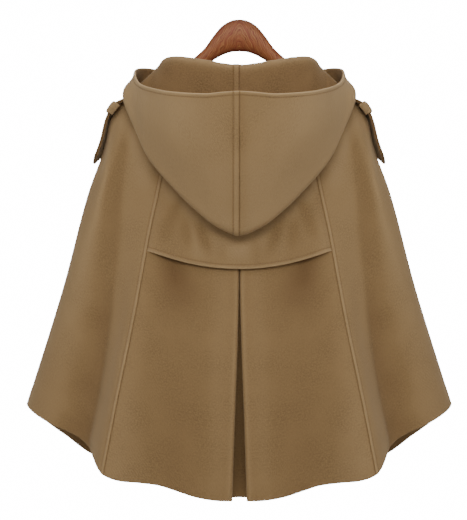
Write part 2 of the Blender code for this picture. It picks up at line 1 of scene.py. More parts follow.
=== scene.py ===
"""Hooded cape coat on a wooden hanger: its cloth, seams, stitching, buttons, wood and studio.

Tables and functions give millimetres, and meshes are made in metres. The wearer faces +Y, so the
coat's back faces -Y, and +X is the wearer's right. The cape is one flared tube: a place on it is
an angle, 0 at the centre back, 90 on the shoulder and 180 at the centre front, and a level, 0 at
the neck seam and 1 at the hem. Panels are cut from that surface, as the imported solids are.
"""

import math
from types import SimpleNamespace

import bpy
import numpy as np
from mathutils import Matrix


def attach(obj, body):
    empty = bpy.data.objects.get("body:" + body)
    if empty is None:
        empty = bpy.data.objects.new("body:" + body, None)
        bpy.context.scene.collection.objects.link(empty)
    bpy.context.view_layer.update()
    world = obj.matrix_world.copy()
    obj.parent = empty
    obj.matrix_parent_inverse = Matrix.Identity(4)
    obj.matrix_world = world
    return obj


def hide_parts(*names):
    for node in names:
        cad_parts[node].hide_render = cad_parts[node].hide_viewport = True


bl_info = {
    "name": "Hooded Cape Coat",
    "version": (1, 0, 0),
    "blender": (4, 5, 0),
    "location": "View3D > Sidebar > Cape Coat",
    "description": "Makes a wool cape coat with a hood, seen from behind on its hanger",
    "category": "Object",
}

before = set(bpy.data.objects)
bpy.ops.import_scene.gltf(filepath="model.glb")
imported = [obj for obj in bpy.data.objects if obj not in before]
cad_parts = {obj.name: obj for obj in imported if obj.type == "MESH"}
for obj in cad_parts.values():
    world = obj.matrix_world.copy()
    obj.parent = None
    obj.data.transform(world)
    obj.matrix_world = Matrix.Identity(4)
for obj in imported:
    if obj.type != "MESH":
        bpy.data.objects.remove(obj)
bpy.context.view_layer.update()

MM = 0.001
CLOTH = 3.0
SEAM_GAP = 0.3
SEAM_OVERLAP = 0.1
LAYER_GAP = 0.6

# The rings of the cape: level, half width, depth of back and front, height of back, side, front
RINGS = (
    (0.000, 92.0, 52.0, 58.0, -100.0, -72.5, -150.0),
    (0.055, 120.0, 56.0, 62.0, -138.0, -91.3, -185.0),
    (0.123, 155.0, 60.0, 66.0, -181.0, -113.6, -226.0),
    (0.186, 185.0, 64.0, 70.0, -222.0, -138.0, -262.0),
    (0.229, 199.5, 67.0, 73.0, -249.0, -160.5, -288.0),
    (0.293, 211.0, 72.0, 77.0, -290.0, -199.0, -325.0),
    (0.434, 241.0, 85.0, 89.0, -381.0, -280.0, -409.0),
    (0.661, 277.0, 106.0, 107.0, -528.0, -416.0, -544.0),
    (0.818, 305.0, 118.0, 116.0, -630.0, -509.0, -637.0),
    (1.000, 339.0, 128.0, 124.0, -748.0, -616.0, -745.0),
)

# Soft folds: angle, spread to the back and to the front, height, levels of start, full and end
FOLDS = (
    (0.0, 7.0, 7.0, 7.0, 0.42, 1.00, 9.0),
    (15.0, 8.0, 8.0, -9.0, 0.40, 1.05, 9.0),
    (35.0, 9.5, 6.0, 45.0, 0.30, 1.10, 9.0),
    (49.0, 7.0, 9.0, -11.0, 0.22, 0.90, 9.0),
    (66.0, 6.0, 8.0, 7.0, 0.18, 0.30, 0.62),
    (104.0, 9.0, 10.0, 7.0, 0.12, 0.20, 0.50),
    (118.0, 10.0, 9.0, -8.0, 0.30, 0.95, 9.0),
    (143.0, 7.0, 9.0, 26.0, 0.30, 1.10, 9.0),
    (162.0, 8.0, 8.0, -7.0, 0.35, 1.00, 9.0),
)

# How much lower than its ring the hem hangs: angle and drop
HEM_DROPS = (
    (0.0, 2.0), (6.0, 4.5), (12.0, 4.5), (17.0, 1.0), (21.0, -1.5), (26.0, 1.0), (31.0, 5.5),
    (35.5, 4.5), (40.0, -5.5), (44.0, -10.0), (49.0, -12.5), (54.0, -10.5), (60.0, -7.0),
    (68.0, -3.0), (78.0, 0.0), (98.0, 1.0), (108.0, 6.0), (116.0, 4.5), (124.0, 0.5),
    (134.0, 1.5), (150.0, 0.0), (180.0, 0.0),
)
HEM_FROM = 0.8

BACK_SEAM = 35.0
SHOULDER_SEAM = 90.0
FRONT_SEAM = 145.0
CENTRE_FRONT = 180.0

YOKE_LEVEL = 0.42
FLAP_TOP = 0.003
FLAP_BOTTOM = 0.463
FLAP_END_DROP = 0.008
FLAP_STAND = 3.5
FLAP_FREE_FROM = 0.15
# Height of the flap's right side where it is sewn in, and how far from there it stays pressed
FLAP_SUNK = 1.0
FLAP_TUCK = 9.0
# Least height of its wrong side over the yoke
FLAP_OVER_YOKE = 0.25

PLEAT_OPEN = 11.5
PLEAT_CLOSED = 0.3
PLEAT_DEPTH = 62.0
PLEAT_TURN = 2.4
PLEAT_FALL_BACK = 34.0
# The pleat opens in a smooth step from the yoke's level to this one, which is past the hem, and
# has its full width this far through the step, about at the hem
PLEAT_STEP_END = 1.15
PLEAT_OPEN_SHARE = 0.8

LAP_START = 46.0
LAP_FULL = 34.0
LAP_END = -28.0
BUTTON_LEVELS = (0.10, 0.29, 0.48, 0.67)
BUTTON_DIAMETER = 28.0
BUTTON_THICKNESS = 4.6
BUTTON_HOLE = 2.4
BUTTON_HOLE_SPACING = 6.4
BUTTON_DISH = 1.6
BUTTON_THREAD = 0.3
# Worked buttonhole: its half length, how far it lies from the button's middle, how near and how
# far its stitches reach from the slit, and the number of its turns
HOLE_REACH = BUTTON_DIAMETER / 2 + 1.5
HOLE_ASIDE = 2.0
HOLE_NEAR, HOLE_FAR = 0.7, 2.9
HOLE_TURNS = 150

# Sections of the hood: neck angle, then x y z of its roll over the neck, of the fold at the
# bottom of the pouch and of its free edge, how far its layers stand apart, and the outward swell
HOOD_SECTIONS = (
    (0, 0, -68, -81.5, 0, -106, -346.5, 0, -160, -131.5, 24, 12),
    (12, 25, -67.5, -79, 24, -105.5, -338.5, 26, -159.5, -133, 24, 12),
    (25, 50, -64.5, -74, 48, -104, -324, 53, -157, -135, 24, 12),
    (50, 90, -50, -67, 98, -92, -277, 104, -134, -129.5, 22, 10),
    (68, 109, -34, -65, 140, -74, -226.5, 133, -102, -121, 20, 7),
    (80, 118, -19, -66.5, 161, -58, -182, 151, -70, -112, 17, 4),
    (90, 120, -6, -67.5, 181.5, -36, -133, 161, -38, -100, 14, -1),
    (96, 119, 2, -69, 178.0, -17, -116.2, 165, -10, -84, 12, -2.5),
    (102, 117, 10, -71, 170.5, 4, -109, 161, 14, -76.5, 12, -2),
    (112, 110, 22, -77, 164, 27, -112, 144, 37, -74, 12, 0),
    (125, 95, 38, -90, 134, 48, -116, 118, 54, -78, 11, 0),
    (145, 66, 55, -113, 100, 66, -132, 84, 70, -98, 10, 0),
    (168, 25, 64, -136, 38, 72, -154, 33, 78, -132, 9, 0),
)
HOOD_ROLL = 6.0
NECK_GAP = 0.5
CENTRE_INSET = 9.3
# Millimetres for each degree at the hood's centre seam
HOOD_DEGREE = 2.1
# Neck angles where the hood's fold turns forward and where its front edge is
HOOD_TURNS_AT = 92.0
HOOD_ENDS_AT = 168.0
# Distances up the hood's cloth from the neck seam: to the end of its roll over the neck, and to
# the outer layer of its pouch
HOOD_ROLLED_TO = 90.0
HOOD_OUTSIDE_FROM = 250.0

STRAP_WIDTH = 36.0
STRAP_THICKNESS = 4.6
# Epaulettes: level, height of the strap's middle above the cloth, and its lean
STRAP_ROWS = (
    (0.062, 0.8, 0.0), (0.100, 0.8, 0.0), (0.140, 1.2, 0.0), (0.170, 3.0, 0.0), (0.193, 8.2, 0.4),
    (0.207, 9.2, 0.8), (0.225, 8.4, 1.8), (0.255, 7.2, 2.8), (0.290, 6.2, 3.2), (0.330, 6.0, 3.0),
)
STRAP_START, STRAP_END, STRAP_POINT_FROM = 0.062, 0.33, 0.305
STRAP_BEND_RADIUS = 48.0
STRAP_POINT = 15.0
# About how many millimetres a whole level is along a strap
STRAP_LEVEL = 780.0
# The cape bulges a little under each strap: level and height
SHOULDER_RISE = (
    (0.140, 0.0), (0.165, 0.5), (0.185, 2.6), (0.205, 3.2), (0.225, 3.6), (0.245, 3.8),
    (0.270, 2.6), (0.300, 1.2), (0.340, 0.0),
)
SHOULDER_RISE_SPREAD = 9.0
KEEPER_START, KEEPER_END = 0.192, 0.221
KEEPER_WALL = 3.2
KEEPER_CLEAR = 0.8
KEEPER_CORNER = 0.4
KEEPER_SIDES = 14
KEEPER_SQUARENESS = 0.6

# Wooden hanger: x, top line, bottom line and thickness, from the middle to the tip
HANGER_ROWS = (
    (0.0, 0.0, -51.5, 15.0), (12.0, -1.8, -52.5, 15.0), (27.0, -10.2, -57.5, 15.0),
    (41.0, -26.0, -65.5, 15.0), (55.0, -45.5, -75.5, 15.0), (72.0, -61.5, -87.5, 16.0),
    (92.0, -77.8, -102.0, 16.0), (120.0, -96.9, -120.0, 16.0), (155.0, -119.8, -141.0, 17.0),
    (178.0, -138.4, -155.0, 17.0), (190.0, -152.0, -161.0, 12.0),
)
HANGER_SQUARENESS = 2.1
HANGER_NECK, HANGER_TIP = 75.0, 190.0

# How each kind of edge is finished: the radius its corner is rounded to, the rise of the seam
# allowance under it, how far in its stitches run, and how much painted highlight (above 0) or
# painted shade (below 0) its colour gets on the edge, on the raised cloth and along the stitches
EDGE_FIELDS = ("round", "rise", "inset", "edge_tone", "rise_tone", "stitch_tone")
EDGES = {
    "seam": (0.8, 0.0, 0.0, -0.6, 0.0, 0.0),
    "lapped": (1.2, 0.9, 6.2, -0.6, 0.2, -0.4),
    "felled": (0.9, 0.7, CENTRE_INSET, -0.6, 0.12, -0.5),
    "turned": (1.45, 0.5, 6.2, 0.8, 0.1, -0.35),
    "hem": (1.45, 0.3, 0.0, 0.4, 0.0, 0.0),
    # The strap's edges get painted shade
    "strap": (1.45, 0.4, 6.2, -0.55, 0.05, -0.35),
}
# The seam allowance's reach where no stitches hold it, and how wide its ridge's flanks are
LOOSE_REACH = 28.0
RISE_NEAR, RISE_FAR = 1.8, 2.4
# How deep the stitches pull the cloth in, how unevenly, and how wide their furrow is
FURROW, FURROW_UNEVEN, FURROW_WIDTH = 0.42, 0.16, 0.9
# Widths of the painted highlight or shade along an edge and along a turned edge
TONE_WIDTH, TURNED_TONE_WIDTH = 0.9, 1.5
# Half of the thickness that is left at a rounded edge, and the least thickness of cloth that is
# pressed against the piece under it
EDGE_LEFT = 0.04
THINNEST = 0.3
# Distances from an edge over which the cloth's unevenness sets in
CALM_SEAM = 12.0
CALM_NECK = 40.0
CALM_YOKE = 20.0
CALM_HEM = 20.0
CALM_FOLD = 25.0
CALM_HOOD_SEAM = 14.0
CALM_HOOD_NECK = 30.0

# Distances from an edge at which a panel has lines of points, and which of the close ones is
# stitched. The underlay's are shares of its length
CLOSE_STEPS = (0.0, 0.25, 0.6, 1.1, 1.9, 3.0, 4.4, 5.5, 6.2, 6.9, 7.8, 9.2)
STITCH_STEP = 8
CENTRE_STEPS = (0.0, 0.3, 0.8, 1.6, 3.0, 5.0, 7.0, 8.5, 9.3, 10.0, 11.2, 13.0)
PLAIN_STEPS = (0.0, 2.5)
UNDERLAY_HEM_STEPS = (0.0, 0.0006, 0.0015, 0.003, 0.006, 0.012)
# Counts: the fine lines that a panel is measured with, the columns of the pleat's turn and of the
# cloth turned under, and the underlay's rows and columns
FINE_ROWS, FINE_COLUMNS = 200, 80
TURN_STEPS, UNDER_STEPS = 12, 15
UNDERLAY_ROWS, UNDERLAY_COLUMNS = 90, 46

# Unevenness of cloth: the width of its lumps in millimetres, and their seed
UNEVEN = {"slow": (62.0, 3), "quick": (21.0, 8), "drape": (34.0, 11), "stitches": (9.0, 5)}
DRAPE_UNEVEN = 0.3
DRAPE_SETS_IN = 30.0
STITCH_STRAY = 0.12
# Scale of a wave texture whose straight bands are 1 mm apart
WAVE_BANDS = 0.314

# Painted light and shade of lumpy cloth: how much lighter it is painted for each millimetre that it
# stands out, and darker for each millimetre that it sinks
RUMPLE_PAINTED_SHADING = 0.04
# How much painted shade darkens the cloth turned under into the pleat, at its deepest
PLEAT_PAINTED_SHADE = -0.7
# How far each piece's slow and quick unevenness stands out, and how much lighter or darker it is
# painted: painted light on most pieces, strongest on the hood and the arm panels, and painted
# shade on the pleat's underlay
PIECES = {
    "yoke": (0.0, 0.0, 0.0),
    "underlay": (0.8, 0.2, -0.3),
    "back": (0.9, 0.22, 0.0),
    "flap": (1.5, 0.9, 0.06),
    "side_back": (0.9, 0.25, 0.19),
    "side_front": (0.9, 0.25, 0.19),
    "front": (0.25, 0.1, 0.1),
    "hood": (1.1, 0.3, 0.4),
}
# Soft troughs and ridges of the hung cloth, followed down each half of a piece: depth below the
# hanger's top, distance from the centre, width towards the centre and outwards, height, and how
# much painted light (above 0) or painted shade (below 0) its colour gets, also where a trough or
# ridge has no height
DRAPE = {
    "side_back": (
        (
            (130.0, 168.0, 8.0, 10.0, 0.0, 0.0), (188.0, 178.0, 9.0, 13.0, -1.3, -0.18),
            (264.0, 192.0, 10.0, 17.0, -1.8, -0.29), (336.0, 198.0, 11.0, 21.0, -2.0, -0.35),
            (428.0, 204.0, 8.0, 27.0, -2.6, -0.42), (496.0, 209.5, 7.5, 33.0, -3.0, -0.50),
            (574.0, 219.0, 7.0, 39.0, -3.2, -0.55), (660.0, 235.5, 6.5, 45.0, -3.2, -0.58),
        ),
        (
            (140.0, 195.0, 5.0, 5.0, 0.0, 0.0), (170.0, 202.5, 5.0, 5.0, 1.5, 0.10),
            (254.0, 211.5, 5.0, 6.0, 1.9, 0.20), (287.0, 220.0, 6.0, 7.0, 1.9, 0.22),
            (320.0, 227.0, 8.0, 9.0, 1.6, 0.18), (420.0, 256.0, 14.0, 14.0, 1.2, 0.12),
            (560.0, 296.0, 20.0, 20.0, 1.0, 0.0), (660.0, 322.0, 20.0, 20.0, 0.6, 0.0),
        ),
        # Painted light beside the hood's edge, which lightens the hood's cast shadow
        (
            (133.0, 188.0, 12.0, 14.0, 0.0, 0.04), (182.0, 166.0, 14.0, 18.0, 0.0, 0.30),
            (226.0, 148.0, 14.0, 20.0, 0.0, 0.26), (280.0, 145.0, 14.0, 22.0, 0.0, 0.0),
        ),
    ),
    "back": (
        # Painted shadow under the storm flap, which goes on down the back as painted shade in a
        # broad trough
        (
            (375.0, 104.0, 30.0, 24.0, -3.0, -0.56), (428.0, 97.0, 33.0, 26.0, -3.0, -0.68),
            (470.0, 94.0, 38.0, 30.0, -2.0, -0.26), (496.0, 94.0, 38.0, 30.0, -1.7, -0.11),
            (574.0, 94.0, 40.0, 32.0, -1.7, -0.13), (660.0, 96.0, 40.0, 32.0, -1.9, -0.20),
            (760.0, 97.0, 38.0, 32.0, -1.9, -0.22),
        ),
        (
            (400.0, 28.0, 22.0, 16.0, 0.0, 0.08), (520.0, 34.0, 22.0, 18.0, 0.5, 0.09),
            (760.0, 42.0, 20.0, 18.0, 0.7, 0.07),
        ),
        (
            (380.0, 138.0, 14.0, 14.0, 0.0, 0.06), (500.0, 165.0, 24.0, 24.0, 0.0, 0.08),
            (600.0, 178.0, 26.0, 26.0, 0.0, 0.13), (690.0, 184.0, 32.0, 28.0, 0.0, 0.22),
            (760.0, 188.0, 36.0, 28.0, 0.0, 0.27),
        ),
    ),
    "flap": (
        (
            (250.0, 140.0, 16.0, 16.0, 0.0, 0.05), (340.0, 142.0, 18.0, 16.0, 0.0, 0.12),
            (430.0, 140.0, 18.0, 16.0, 0.0, 0.12),
        ),
        (
            (282.0, 90.0, 9.0, 9.0, 0.0, 0.0), (300.0, 96.0, 9.0, 10.0, -1.9, -0.18),
            (335.0, 110.0, 9.0, 9.0, -1.6, -0.14), (362.0, 120.0, 9.0, 9.0, 0.0, 0.0),
        ),
        (
            (318.0, 64.0, 8.0, 8.0, 0.0, 0.0), (340.0, 58.0, 9.0, 9.0, -2.0, -0.20),
            (366.0, 48.0, 9.0, 9.0, -1.5, -0.15), (392.0, 40.0, 8.0, 8.0, 0.0, 0.0),
        ),
        (
            (316.0, 86.0, 8.0, 8.0, 0.0, 0.0), (345.0, 81.0, 8.0, 8.0, -1.5, -0.15),
            (372.0, 76.0, 8.0, 8.0, 0.0, 0.0),
        ),
        (
            (320.0, 74.0, 8.0, 8.0, 0.0, 0.0), (352.0, 69.0, 8.0, 8.0, 1.7, 0.12),
            (392.0, 62.0, 10.0, 10.0, 0.6, 0.05),
        ),
        (
            (350.0, 22.0, 8.0, 8.0, 0.0, 0.0), (376.0, 26.0, 8.0, 8.0, -1.3, -0.10),
            (398.0, 28.0, 8.0, 8.0, 0.0, 0.0),
        ),
        # Painted light along the hood's edge, which lightens the hood's cast shadow on the flap
        (
            (182.0, 170.0, 14.0, 16.0, 0.0, 0.34), (226.0, 148.0, 14.0, 18.0, 0.0, 0.34),
            (277.0, 106.0, 14.0, 18.0, 0.0, 0.28), (318.0, 62.0, 20.0, 20.0, 0.0, 0.26),
            (340.0, 30.0, 30.0, 26.0, 0.0, 0.24), (372.0, 0.0, 60.0, 50.0, 0.0, 0.26),
            (398.0, 0.0, 60.0, 60.0, 0.0, 0.04),
        ),
    ),
    "side_front": (
        (
            (150.0, 160.0, 8.0, 12.0, 0.0, 0.0), (210.0, 168.0, 10.0, 14.0, -1.2, -0.12),
            (300.0, 176.0, 12.0, 18.0, -1.8, -0.22), (428.0, 192.0, 12.0, 26.0, -2.4, -0.28),
            (560.0, 212.0, 12.0, 32.0, -2.2, -0.32), (680.0, 236.0, 14.0, 36.0, -2.6, -0.36),
        ),
        (
            (140.0, 195.0, 5.0, 5.0, 0.0, 0.0), (254.0, 211.5, 5.0, 6.0, 1.6, 0.12),
            (330.0, 229.0, 9.0, 9.0, 1.4, 0.10), (480.0, 268.0, 16.0, 16.0, 1.2, 0.05),
            (640.0, 312.0, 20.0, 20.0, 0.6, 0.0),
        ),
    ),
    "front": (
        (
            (260.0, 80.0, 12.0, 16.0, 0.0, 0.0), (360.0, 86.0, 16.0, 22.0, -1.4, -0.10),
            (480.0, 96.0, 20.0, 26.0, -2.2, -0.16), (610.0, 104.0, 22.0, 28.0, -2.0, -0.14),
            (760.0, 116.0, 24.0, 30.0, -2.4, -0.20),
        ),
        (
            (330.0, 128.0, 12.0, 12.0, 0.0, 0.05), (470.0, 148.0, 18.0, 18.0, 1.2, 0.12),
            (620.0, 162.0, 22.0, 22.0, 0.8, 0.14), (760.0, 176.0, 24.0, 24.0, 1.0, 0.18),
        ),
    ),
    "hood": (
        (
            (90.0, 0.0, 62.0, 62.0, 0.0, -0.08), (150.0, 0.0, 66.0, 66.0, -0.8, -0.24),
            (205.0, 0.0, 66.0, 66.0, -1.0, -0.22), (264.0, 0.0, 60.0, 60.0, 0.0, -0.06),
            (350.0, 0.0, 50.0, 50.0, 0.0, 0.0),
        ),
        (
            (110.0, 0.0, 12.0, 12.0, 0.0, -0.10), (350.0, 0.0, 12.0, 12.0, 0.0, -0.16),
        ),
        (
            (120.0, 112.0, 20.0, 20.0, 0.0, 0.0), (160.0, 104.0, 20.0, 20.0, 1.4, 0.05),
            (220.0, 84.0, 18.0, 18.0, 0.8, 0.0), (260.0, 66.0, 16.0, 16.0, 0.0, 0.0),
        ),
    ),
}

# The studio, in metres: where its lights look, the camera's distance and place, and how much
# height the photo takes in at the coat. The camera's sensor is in millimetres
LIGHTS_AIM = (0.0, 0.0, -0.38)
CAMERA_DISTANCE = 2.5
CAMERA_X, CAMERA_Z = -0.0091, -0.385
PHOTO_HEIGHT = 0.832
SENSOR_HEIGHT = 24.0
FLOOR_RADIUS = 4.6
BACKDROP_RADIUS = 14.0


def hex_to_linear(code):
    """An sRGB hex colour as linear red, green and blue."""
    shares = [int(code[i:i + 2], 16) / 255 for i in (0, 2, 4)]
    return tuple(s / 12.92 if s <= 0.04045 else ((s + 0.055) / 1.055) ** 2.4 for s in shares)


def colour(name, about, code):
    """A colour setting that starts from an sRGB hex value."""
    return bpy.props.FloatVectorProperty(
        name=name, description=about, subtype="COLOR", size=3, min=0.0, max=1.0,
        default=hex_to_linear(code),
    )


def length(name, about, default):
    """A length setting, given in millimetres."""
    return bpy.props.FloatProperty(
        name=name, description=about, unit="LENGTH", default=default * MM, min=0.0
    )


class CapeClothSettings(bpy.types.PropertyGroup):
    """The wool and how its panels hang."""

    face: colour("Face", "Brushed right side of the wool", "826845")
    # The wrong side is brushed less, and its darker colour is partly painted shade for the coat's
    # and the hood's inside
    wrong: colour("Wrong side", "Less brushed inner side of the wool", "7E6240")
    # Painted highlight colour, mixed in where tone is above 0: on rounded edges, raised seam
    # allowances, fold ridges and pieces painted lighter
    light: colour("Edge", "Nap rubbed light along turned edges", "C4A67C")
    # Painted shade colour, mixed in where tone is below 0: in seam grooves, stitch furrows, fold
    # troughs, under the flap and in the pleat
    dark: colour("Crease", "Nap pressed dark in seams and along stitches", "5C4126")
    fleck: length("Fleck", "Size of the nap's flecks", 2.6)
    spacing: length("Grid", "Spacing of the mesh across a panel", 4.5)
    rumple: bpy.props.FloatProperty(
        name="Rumple", description="How unevenly the cloth hangs", default=1.0, min=0.0, max=3.0
    )


class CapeStitchSettings(bpy.types.PropertyGroup):
    """The topstitching thread."""

    thread: colour("Thread", "Polyester topstitch thread", "7C6140")
    pitch: length("Pitch", "Distance from stitch to stitch", 4.0)
    stitch: length("Stitch", "Length of thread that shows", 3.1)
    thick: length("Thickness", "Thickness of the thread", 0.55)


class CapeTrimSettings(bpy.types.PropertyGroup):
    """The hanger's wood and the buttons' horn."""

    wood: colour("Wood", "Stained beech under varnish", "8C472C")
    wood_light: colour("Light grain", "Pale bands between the growth rings", "A8723E")
    # Also used for the darker top and bottom of the hanger's sections
    wood_dark: colour("Dark grain", "Growth rings and stained edges", "4E1A10")
    grain: length("Ring spacing", "Distance between growth rings", 6.5)
    horn: colour("Horn", "Polished dark horn", "3A2418")
    horn_light: colour("Horn streak", "Paler streaks in the horn", "7A5636")


class CapeStudioSettings(bpy.types.PropertyGroup):
    """The floor, the lights and the camera."""

    floor: colour("Floor", "Plain pale floor", "E9E7E3")
    floor_height: bpy.props.FloatProperty(
        name="Floor height", description="Height of the floor under the hung coat",
        unit="LENGTH", default=-1.6,
    )
    ambient: bpy.props.FloatProperty(
        name="Ambient", description="Strength of the even light all round", default=0.38, min=0.0
    )
    backdrop: bpy.props.FloatProperty(
        name="Backdrop", description="Brightness of the backdrop", default=16.0, min=0.0
    )
    key: bpy.props.FloatProperty(
        name="Key", description="Power of the large light above the camera, in watts",
        default=42.0, min=0.0,
    )
    top: bpy.props.FloatProperty(
        name="Top", description="Power of the light over the coat, in watts", default=14.0,
        min=0.0,
    )
    fill: bpy.props.FloatProperty(
        name="Fill", description="Power of each light at the sides, in watts", default=9.0,
        min=0.0,
    )


def through_rows(rows, places):
    """Every field of a table on the smooth curve through its rows, for an array of places."""
    table = np.asarray(rows, float)
    knots, values = table[:, 0], table[:, 1:]
    places = np.asarray(places, float)
    steps = np.concatenate([knots[1:2] - knots[:1], knots[2:] - knots[:-2],
                            knots[-1:] - knots[-2:-1]])
    rises = np.concatenate([values[1:2] - values[:1], values[2:] - values[:-2],
                            values[-1:] - values[-2:-1]])
    slopes = rises / steps[:, None]
    index = np.clip(np.searchsorted(knots, places) - 1, 0, len(knots) - 2)
    width = knots[index + 1] - knots[index]
    t = ((places - knots[index]) / width)[..., None]
    width = width[..., None]
    return (
        (2 * t**3 - 3 * t**2 + 1) * values[index]
        + (t**3 - 2 * t**2 + t) * width * slopes[index]
        + (3 * t**2 - 2 * t**3) * values[index + 1]
        + (t**3 - t**2) * width * slopes[index + 1]
    )


def ease(t):
    """A smooth step from 0 to 1."""
    t = np.clip(t, 0.0, 1.0)
    return t * t * (3 - 2 * t)


def bump(distance, width):
    """A rounded ridge of height 1."""
    return np.exp(-((distance / width) ** 2))


def unit(vectors):
    """Vectors scaled to length 1."""
    return vectors / np.maximum(np.linalg.norm(vectors, axis=-1, keepdims=True), 1e-12)


def soft_noise(points, size, seed):
    """Smooth unevenness between -1 and 1 whose lumps are about size millimetres wide."""
    lattice = np.random.default_rng(seed).uniform(-1, 1, (16, 16, 16))
    place = np.asarray(points) / size
    cell = np.floor(place).astype(int)
    part = ease(place - cell)
    total = np.zeros(place.shape[:-1])
    for corner in np.ndindex(2, 2, 2):
        x, y, z = np.moveaxis((cell + corner) % 16, -1, 0)
        share = np.prod(np.where(np.array(corner) == 1, part, 1 - part), axis=-1)
        total += lattice[x, y, z] * share
    return total


def folds_at(angle, level):
    """How far the soft folds push the cloth out."""
    angle = np.minimum(np.abs(angle), 360 - np.abs(angle))
    height = np.zeros(np.broadcast(angle, level).shape)
    for place, spread_back, spread_front, rise, start, full, end in FOLDS:
        away = angle - place
        spread = np.where(away > 0, spread_front, spread_back)
        grown = ease((level - start) / (full - start))
        if end <= 1:
            grown = grown * (1 - ease((level - full) / (end - full)))
        height = height + rise * grown * bump(away, spread)
    return height


def cape_surface(angle, level):
    """Points of the cape's outside on the wearer's right half."""
    angle, level = np.broadcast_arrays(np.asarray(angle, float), np.asarray(level, float))
    half_width, back_depth, front_depth, back_z, side_z, front_z = np.moveaxis(
        through_rows(RINGS, level), -1, 0
    )
    turn = np.radians(angle)
    sine, cosine = np.sin(turn), np.cos(turn)
    back = cosine > 0
    depth = np.where(back, back_depth, front_depth)
    low_z = np.where(back, back_z, front_z)
    share = np.where(back, cosine**2, np.sin(np.pi / 2 * cosine**2))
    out = unit(np.stack([sine / half_width, -cosine / depth, np.zeros_like(sine)], -1))
    drop = through_rows(HEM_DROPS, angle)[..., 0] * ease((level - HEM_FROM) / (1 - HEM_FROM))
    base = np.stack(
        [half_width * sine, -depth * cosine, side_z + (low_z - side_z) * share - drop], -1
    )
    return base + out * folds_at(angle, level)[..., None]


def cape_frame(angle, level):
    """Outward normals, and the millimetres for each degree and for each whole level."""
    turn, rise = 0.05, 0.0005
    above, below = np.maximum(0.0, level - rise), np.minimum(1.0, level + rise)
    across = (cape_surface(angle + turn, level) - cape_surface(angle - turn, level)) / (2 * turn)
    down = cape_surface(angle, below) - cape_surface(angle, above)
    down = down / np.broadcast_to(below - above, down.shape[:-1])[..., None]
    sizes = np.linalg.norm(across, axis=-1), np.linalg.norm(down, axis=-1)
    return unit(np.cross(down, across)), *sizes


def mirrored(points, side):
    """Points of the right half, or of the left half where side is -1."""
    return points * np.array([side, 1.0, 1.0])


def angle_at_x(x, level, front=False):
    """Angles of the places that lie x from the centre back or the centre front."""
    turn = np.degrees(np.arcsin(x / through_rows(RINGS, level)[..., 0]))
    return CENTRE_FRONT - turn if front else turn


def close_at_ends(reach, first, last, count):
    """Places along a reach: close together at both ends and even between."""
    first, last = np.asarray(first), np.asarray(last)
    middle = np.linspace(first[-1], reach - last[-1], count + 1)[1:-1]
    return np.concatenate([first, middle, reach - last[::-1]])


def panel_grid(first_at, last_at, start, end, first_steps, last_steps, top_steps, end_steps):
    """A grid over a panel of the cape, with each point's distance from the panel's edges."""
    spacing = bpy.context.scene.cape_cloth.spacing / MM
    middle = (first_at(np.array(end)) + last_at(np.array(end))) / 2
    levels = np.linspace(start, end, FINE_ROWS)
    steps = np.linalg.norm(np.diff(cape_surface(middle, levels), axis=0), axis=1)
    down = np.concatenate([[0.0], np.cumsum(steps)])
    rows = close_at_ends(down[-1], top_steps, end_steps, max(2, round(down[-1] / spacing)))
    level = np.interp(rows, down, levels)
    samples = np.linspace(first_at(level), last_at(level), FINE_COLUMNS, axis=1)
    points = cape_surface(samples, level[:, None])
    widths = np.cumsum(np.linalg.norm(np.diff(points, axis=1), axis=2), axis=1)
    widths = np.concatenate([np.zeros((len(level), 1)), widths], axis=1)
    count = max(2, round(widths[:, -1].max() / spacing))
    columns = [close_at_ends(w[-1], first_steps, last_steps, count) for w in widths]
    angle = np.array([np.interp(c, w, s) for c, w, s in zip(columns, widths, samples)])
    columns = np.array(columns)
    level = np.repeat(level[:, None], angle.shape[1], axis=1)
    down_scale = cape_frame(angle, level)[2]
    return SimpleNamespace(
        angle=angle, level=level, across=columns, first=columns,
        along=np.repeat(rows[:, None], angle.shape[1], 1), last=columns[:, -1:] - columns,
        top=(level - start) * down_scale, end=(end - level) * down_scale,
    )


def finish_edges(grid, kinds):
    """Rise, rounding and tone, the painted highlight or shade, of a panel's cloth near its edges.
    kinds names the four edges.
    """
    shape = grid.first.shape
    rise, rounded, tone = np.zeros(shape), np.zeros(shape), np.zeros(shape)
    for edge, kind in kinds.items():
        finish = dict(zip(EDGE_FIELDS, EDGES[kind]))
        away = getattr(grid, edge)
        radius = finish["round"]
        inset = 1 - np.clip(away / radius, 0, 1)
        rounded = np.maximum(rounded, radius * (1 - np.sqrt(1 - inset**2)))
        width = TURNED_TONE_WIDTH if kind == "turned" else TONE_WIDTH
        tone += finish["edge_tone"] * bump(away, width)
        stitches = finish["inset"]
        reach = stitches or LOOSE_REACH
        flat = ease(away / RISE_NEAR) * (1 - ease((away - reach) / RISE_FAR + 0.5))
        rise += finish["rise"] * flat
        tone += finish["rise_tone"] * flat
        if stitches:
            flat_place = np.stack([grid.across, grid.along, grid.across * 0], -1)
            furrow = bump(away - stitches, FURROW_WIDTH)
            rise -= (FURROW + FURROW_UNEVEN * soft_noise(flat_place, *UNEVEN["stitches"])) * furrow
            tone += finish["stitch_tone"] * furrow
    return rise, np.minimum(rounded, CLOTH / 2 - EDGE_LEFT), np.clip(tone, -1, 1)


def shoulder_rise(grid):
    """How far the cape bulges under a shoulder strap."""
    within = (grid.level > SHOULDER_RISE[0][0]) & (grid.level < SHOULDER_RISE[-1][0])
    rise = through_rows(SHOULDER_RISE, grid.level)[..., 0] * within
    return rise * bump(grid.angle - SHOULDER_SEAM, SHOULDER_RISE_SPREAD)


